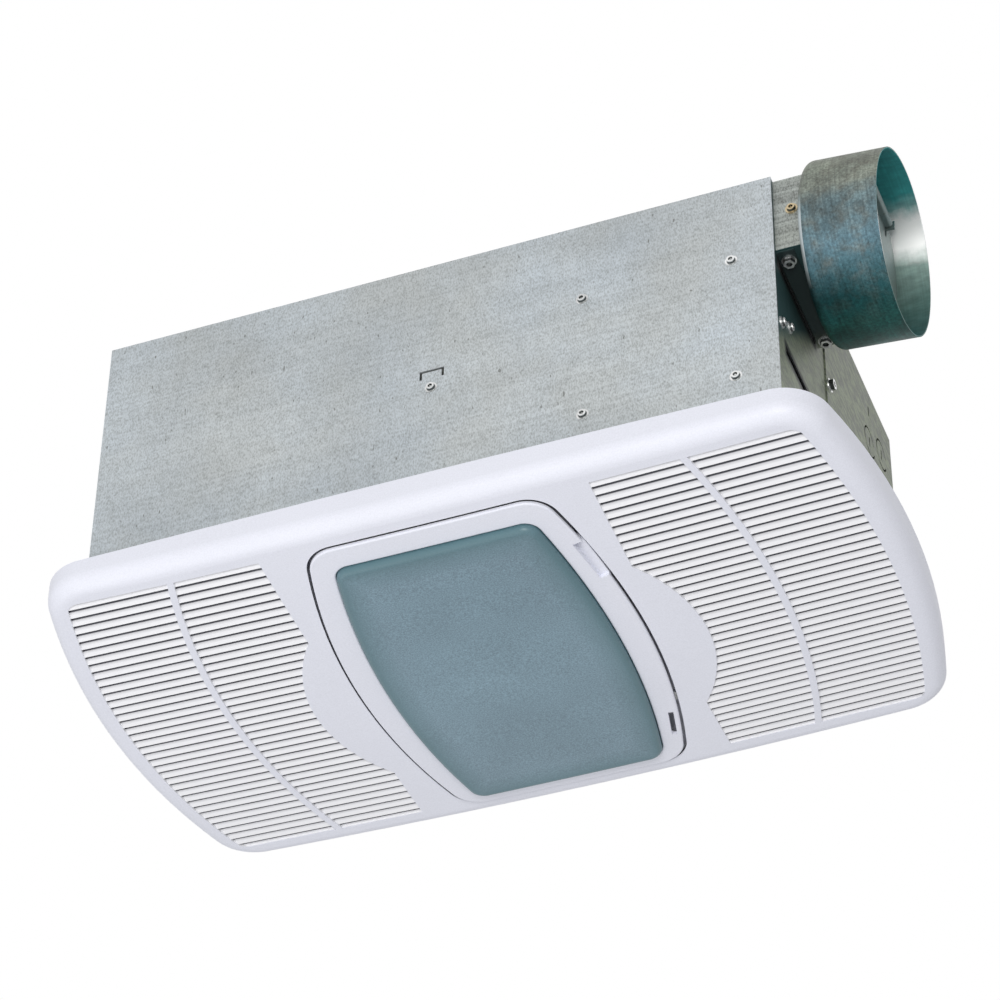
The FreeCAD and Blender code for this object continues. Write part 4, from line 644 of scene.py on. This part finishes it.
class FAN_OT_screws(bpy.types.Operator):
    """Zinc and brass screws"""

    bl_idname = "fan.screws"
    bl_label = "Screws"

    def execute(self, context):
        dress(plain_metal("grille_screw", *SCREW_ZINC), "grille_screws")
        for name, tops, shade in ZINC_HEADS:
            dress(self.shade_recesses(plain_metal(name + "_zinc", *SCREW_ZINC), name, tops, shade), name)
        brass = plain_metal("brass_screw", *SCREW_BRASS)
        dress(self.shade_recesses(brass, "collar_screw", ("-Y",), PAN_SHADE), "collar_screw")
        return {"FINISHED"}

    def shade_recesses(self, material, name, tops, shade):
        """Paints shade into a screw's driving recess and onto its head's sides, by the distance below the top of the
        head.
        """
        tree, bright, base = colour_of(material)
        place = object_place(tree)
        low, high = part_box(name)
        below = None
        for sign, axis in tops:
            number = "XYZ".index(axis)
            reach = (maths(tree, "SUBTRACT", high[number], place[axis]) if sign == "+"
                     else maths(tree, "SUBTRACT", place[axis], low[number]))
            below = reach if below is None else maths(tree, "MINIMUM", below, reach)
        recess_shade = between(tree, below, SCREW_LIP, shade, SCREW_LIP / 4)
        link(tree, mixed(tree, recess_shade, bright, SCREW_RECESS_SHADE), base)
        return material


class FAN_OT_grille(bpy.types.Operator):
    """White louvred grille"""

    bl_idname = "fan.grille"
    bl_label = "Grille"

    def execute(self, context):
        dress(self.shade_louvres(finish()), "grille")
        return {"FINISHED"}

    def shade_louvres(self, look):
        """White moulding with a painted highlight on the blade faces, painted shade in the slots and painted shade in
        the gap round the door, by the height above the crowned saw-tooth of the blades.
        """
        material = moulded("grille_moulding", look.moulding)
        tree, clean, base = colour_of(material)
        half_x, half_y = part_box("grille")[1][:2]
        near, far = FIELD_REACH_X
        place = object_place(tree)
        away_x, away_y = (size_of(tree, place[axis]) for axis in "XY")
        end_share = maths(tree, "POWER", maths(tree, "DIVIDE", away_y, half_y), 2.0)
        along = product(tree, maths(tree, "SUBTRACT", away_x, near * far / (near + far)),
                        CROWN_RISE * (near + far) / half_x ** 2)
        across = product(tree, end_share, CROWN_RISE)
        rise = maths(tree, "SUBTRACT", place["Z"], maths(tree, "ADD", along, across))
        rise = maths(tree, "SUBTRACT", rise, CROWN_LOW + BLADE_SINK)
        end = maths(tree, "SUBTRACT", far, product(tree, end_share, FIELD_END_BOW))
        field = product(tree, *(maths(tree, "LESS_THAN", inner, outer)
                                for inner, outer in ((near, away_x), (away_x, end), (away_y, FIELD_REACH_Y))))
        blade = between(tree, rise, 0.0, LOUVRE_SHADE_MOST, BLADE_SINK / 2)
        # Painted shade in the slots between the blades.
        louvre_shade = ramp(tree, maths(tree, "DIVIDE", rise, LOUVRE_SHADE_TO),
                    [(0.0, 0.0), (LOUVRE_SHADE_FROM / LOUVRE_SHADE_TO, 0.0), (LOUVRE_SHADE_MOST / LOUVRE_SHADE_TO, 0.3), (LOUVRE_SHADE_FULL / LOUVRE_SHADE_TO, 1.0),
                     (0.99, 1.0), (1.0, 0.0)])
        # Painted highlight on the blade faces.
        lit_blades = mixed(tree, product(tree, blade, field), clean, look.blades)
        louvre_shaded = mixed(tree, product(tree, louvre_shade, field), lit_blades, look.louvre_slot_shade)
        gap = product(tree, gap_shade(tree, place), maths(tree, "LESS_THAN", away_x, GAP_REACH_X),
                      maths(tree, "LESS_THAN", away_y, GAP_REACH_Y))
        link(tree, mixed(tree, gap, louvre_shaded, look.gap), base)
        return material


class FAN_OT_lens_door(bpy.types.Operator):
    """Lens door, its frosted lens, clips and hinge pins"""

    bl_idname = "fan.lens_door"
    bl_label = "Lens door"

    def execute(self, context):
        look = finish()
        dress(self.edged(look), "lens_door")
        dress(self.frost(look), "lens")
        dress(plain_metal("clip_steel", (0.68, 0.68, 0.68), (0.40, 0.40, 0.40)), "lens_clips", "door_hinge_pins")
        return {"FINISHED"}

    def edged(self, look):
        """White moulding, with painted shade on the walls that face the gap."""
        material = moulded("door_moulding", look.moulding)
        tree, clean, base = colour_of(material)
        place = object_place(tree)
        outer = maths(tree, "LESS_THAN", lens_depth(tree, place), -GAP_FRAME)
        pull = product(tree, between(tree, place["Y"], *PULL_REACH_Y, GAP_FROM),
                       maths(tree, "GREATER_THAN", place["X"], 0.0))
        gap = product(tree, gap_shade(tree, place), maths(tree, "SUBTRACT", outer, pull))
        link(tree, mixed(tree, gap, clean, look.gap), base)
        return material

    def frost(self, look):
        """Frosted lens with painted shade that deepens toward its edge, by the distance from the bowed outline."""
        material = moulded("frosted_lens", look.lens, cloud=0.45, gloss=0.34, bump=0.10, grain=1.5)
        tree, middle, base = colour_of(material)
        depth = lens_depth(tree, object_place(tree))
        inner = ramp(tree, maths(tree, "DIVIDE", depth, LENS_FADE), [(0.0, 0.0), (0.4, 0.55), (1.0, 1.0)])
        link(tree, mixed(tree, inner, look.lens_edge, middle), base)
        return material


class FAN_OT_blower(bpy.types.Operator):
    """Scroll, wheel and motor of the exhaust blower"""

    bl_idname = "fan.blower"
    bl_label = "Exhaust blower"

    def execute(self, context):
        dress(self.scroll_slot_shaded(), "blower_scroll")
        dress(zinc("spider_zinc", *INNER_ZINC), "motor_spider")
        dress(moulded("wheel_plastic", (0.05, 0.05, 0.055), 0.2, 0.5), "exhaust_wheel")
        dress_motor("exhaust")
        return {"FINISHED"}

    def scroll_slot_shaded(self):
        """Zinc with painted shade where the scroll lies close behind the end wall's slots."""
        material = zinc("scroll_zinc", *INNER_ZINC)
        tree, clean, base = colour_of(material)
        reach = maths(tree, "SUBTRACT", object_place(tree)["X"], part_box("blower_scroll")[1][0] - SLOT_SHADE_REACH)
        scroll_shade = ramp(tree, maths(tree, "DIVIDE", reach, SLOT_SHADE_REACH), [(0.0, 0.0), (0.3, 1.0)])
        link(tree, mixed(tree, scroll_shade, clean, SLOT_SHADE), base)
        return material


class FAN_OT_heater(bpy.types.Operator):
    """Duct, element, fan and motor of the heater"""

    bl_idname = "fan.heater"
    bl_label = "Heater"

    def execute(self, context):
        dress(zinc("heater_zinc", *INNER_ZINC), "heater_duct", "heater_bridge")
        dress(plain_metal("element_sheath", (0.24, 0.21, 0.19), (0.10, 0.085, 0.08)), "heating_element")
        dress(plain_metal("fan_aluminium", (0.74, 0.75, 0.76), (0.52, 0.53, 0.54)), "heater_fan")
        dress(moulded("cutout_plastic", (0.04, 0.04, 0.045), 0.2, 0.4), "heater_cutout")
        dress_motor("heater")
        return {"FINISHED"}


class FAN_OT_lamp(bpy.types.Operator):
    """Reflector, sockets and bulbs behind the lens"""

    bl_idname = "fan.lamp"
    bl_label = "Lamp"

    def execute(self, context):
        dress(moulded("white_enamel", (0.85, 0.85, 0.84), 0.04, 0.22, 0.02), "reflector")
        dress(moulded("porcelain", (0.80, 0.79, 0.74), 0.08, 0.15, 0.03), "lamp_sockets")
        dress(moulded("bulb_frost", (0.90, 0.90, 0.87), 0.03, 0.30, 0.02), "bulbs")
        return {"FINISHED"}


class FAN_OT_wiring(bpy.types.Operator):
    """Wiring box and plug receptacles"""

    bl_idname = "fan.wiring"
    bl_label = "Wiring box"

    def execute(self, context):
        dress(zinc("wiring_zinc", *INNER_ZINC), "wiring_box")
        dress(moulded("receptacle_plastic", (0.03, 0.03, 0.035), 0.2, 0.35), "receptacles")
        return {"FINISHED"}


# Stage
def camera_matrix():
    """Place and turn of the photograph's view: looking up at the target, with a slight roll."""
    azimuth, elevation, roll = (math.radians(a) for a in (VIEW_AZIMUTH, VIEW_ELEVATION, VIEW_ROLL))
    back = Vector((math.sin(azimuth) * math.cos(elevation), -math.cos(azimuth) * math.cos(elevation),
                   math.sin(elevation)))
    right = (-back).cross(Vector((0, 0, 1))).normalized()
    up = right.cross(-back)
    right, up = (right * math.cos(roll) + up * math.sin(roll), up * math.cos(roll) - right * math.sin(roll))
    turn = Matrix((right, up, back)).transposed().to_4x4()
    return Matrix.Translation(Vector(VIEW_TARGET) + back * VIEW_DISTANCE) @ turn


def placed(name, data):
    """An object in the scene that holds some data."""
    holder = bpy.data.objects.new(name, data)
    bpy.context.scene.collection.objects.link(holder)
    return holder


def soft_light(name, place, aim, size, power, colour=WHITE):
    """A round soft light that faces its aim."""
    lamp = bpy.data.lights.new(name, "AREA")
    lamp.color = colour
    lamp.shape = "DISK"
    lamp.size = size
    lamp.energy = power
    holder = placed(name, lamp)
    holder.location = place
    holder.rotation_euler = (Vector(aim) - Vector(place)).to_track_quat("-Z", "Y").to_euler()


def seen_white(tree):
    """One where a ray comes from the camera, a mirror or glass, else zero."""
    path = tree.nodes.new("ShaderNodeLightPath")
    seen = maths(tree, "MAXIMUM", path.outputs["Is Camera Ray"], path.outputs["Is Glossy Ray"])
    return maths(tree, "MAXIMUM", seen, path.outputs["Is Transmission Ray"])


class FAN_OT_stage(bpy.types.Operator):
    """Pale floor, soft lights, white surround and the photograph's camera"""

    bl_idname = "fan.stage"
    bl_label = "Stage"

    def execute(self, context):
        scene = context.scene
        levels = stage()
        scene.view_settings.view_transform = "Standard"
        self.surround(levels.ambient)
        self.floor()
        soft_light("key_light", *KEY_LIGHT, levels.key_power, KEY_COLOUR)
        soft_light("fill_light", *FILL_LIGHT, levels.fill_power)
        camera = bpy.data.cameras.new("photo_view")
        camera.sensor_width = SENSOR
        camera.lens = levels.focal
        scene.camera = placed("photo_view", camera)
        scene.camera.matrix_world = camera_matrix()
        return {"FINISHED"}

    def surround(self, ambient):
        """Even light from all round, white where it is seen."""
        world = bpy.data.worlds.new("studio")
        world.use_nodes = True
        tree = world.node_tree
        ground = tree.nodes["Background"]
        ground.inputs["Color"].default_value = rgba(WHITE)
        share = product(tree, seen_white(tree), 1.0 - ambient)
        link(tree, maths(tree, "ADD", share, ambient), ground.inputs["Strength"])
        bpy.context.scene.world = world

    def floor(self):
        """A flat pale sheet far below the unit, white where it is seen and shaded where it isn't."""
        corners = np.array([(-1, -1), (1, -1), (1, 1), (-1, 1)]) * FLOOR_REACH
        points = np.column_stack([corners, np.full(4, CAD_LOW[2] - FLOOR_DROP)])
        mesh = bpy.data.meshes.new("floor")
        mesh.from_pydata(points.tolist(), [], [(0, 1, 2, 3)])
        material = bpy.data.materials.new("floor_paper")
        material.use_nodes = True
        tree = material.node_tree
        shader = tree.nodes["Principled BSDF"]
        shader.inputs["Base Color"].default_value = rgba(FLOOR_PAPER)
        shader.inputs["Roughness"].default_value = FLOOR_ROUGHNESS
        white = add(tree, "ShaderNodeEmission", Strength=1.0)
        blend = tree.nodes.new("ShaderNodeMixShader")
        link(tree, seen_white(tree), blend.inputs["Fac"])
        link(tree, shader.outputs["BSDF"], blend.inputs[1])
        link(tree, white.outputs["Emission"], blend.inputs[2])
        link(tree, blend.outputs["Shader"], tree.nodes["Material Output"].inputs["Surface"])
        mesh.materials.append(material)
        floor = placed("floor", mesh)


PIECES = (FAN_OT_housing, FAN_OT_outlet, FAN_OT_screws, FAN_OT_grille, FAN_OT_lens_door, FAN_OT_blower, FAN_OT_heater,
          FAN_OT_lamp, FAN_OT_wiring, FAN_OT_stage)


class FAN_PT_panel(bpy.types.Panel):
    """Lists the fan's pieces and its stage"""

    bl_idname = "FAN_PT_panel"
    bl_label = "Ceiling exhaust fan"
    bl_space_type = "VIEW_3D"
    bl_region_type = "UI"
    bl_category = "Fan"

    def draw(self, context):
        for group_name in ("fan_finish", "fan_stage"):
            values = getattr(context.scene, group_name)
            for key in values.bl_rna.properties.keys():
                if key not in {"rna_type", "name"}:
                    self.layout.prop(values, key)
        for piece in PIECES:
            self.layout.operator(piece.bl_idname)


CLASSES = (FanFinish, FanStage) + PIECES + (FAN_PT_panel,)


def register():
    for item in CLASSES:
        bpy.utils.register_class(item)
    bpy.types.Scene.fan_finish = PointerProperty(type=FanFinish)
    bpy.types.Scene.fan_stage = PointerProperty(type=FanStage)


def unregister():
    del bpy.types.Scene.fan_stage
    del bpy.types.Scene.fan_finish
    for item in reversed(CLASSES):
        bpy.utils.unregister_class(item)


def main():
    register()
    for piece in PIECES:
        family, action = piece.bl_idname.split(".")
        getattr(getattr(bpy.ops, family), action)()


if __name__ == "__main__":
    main()
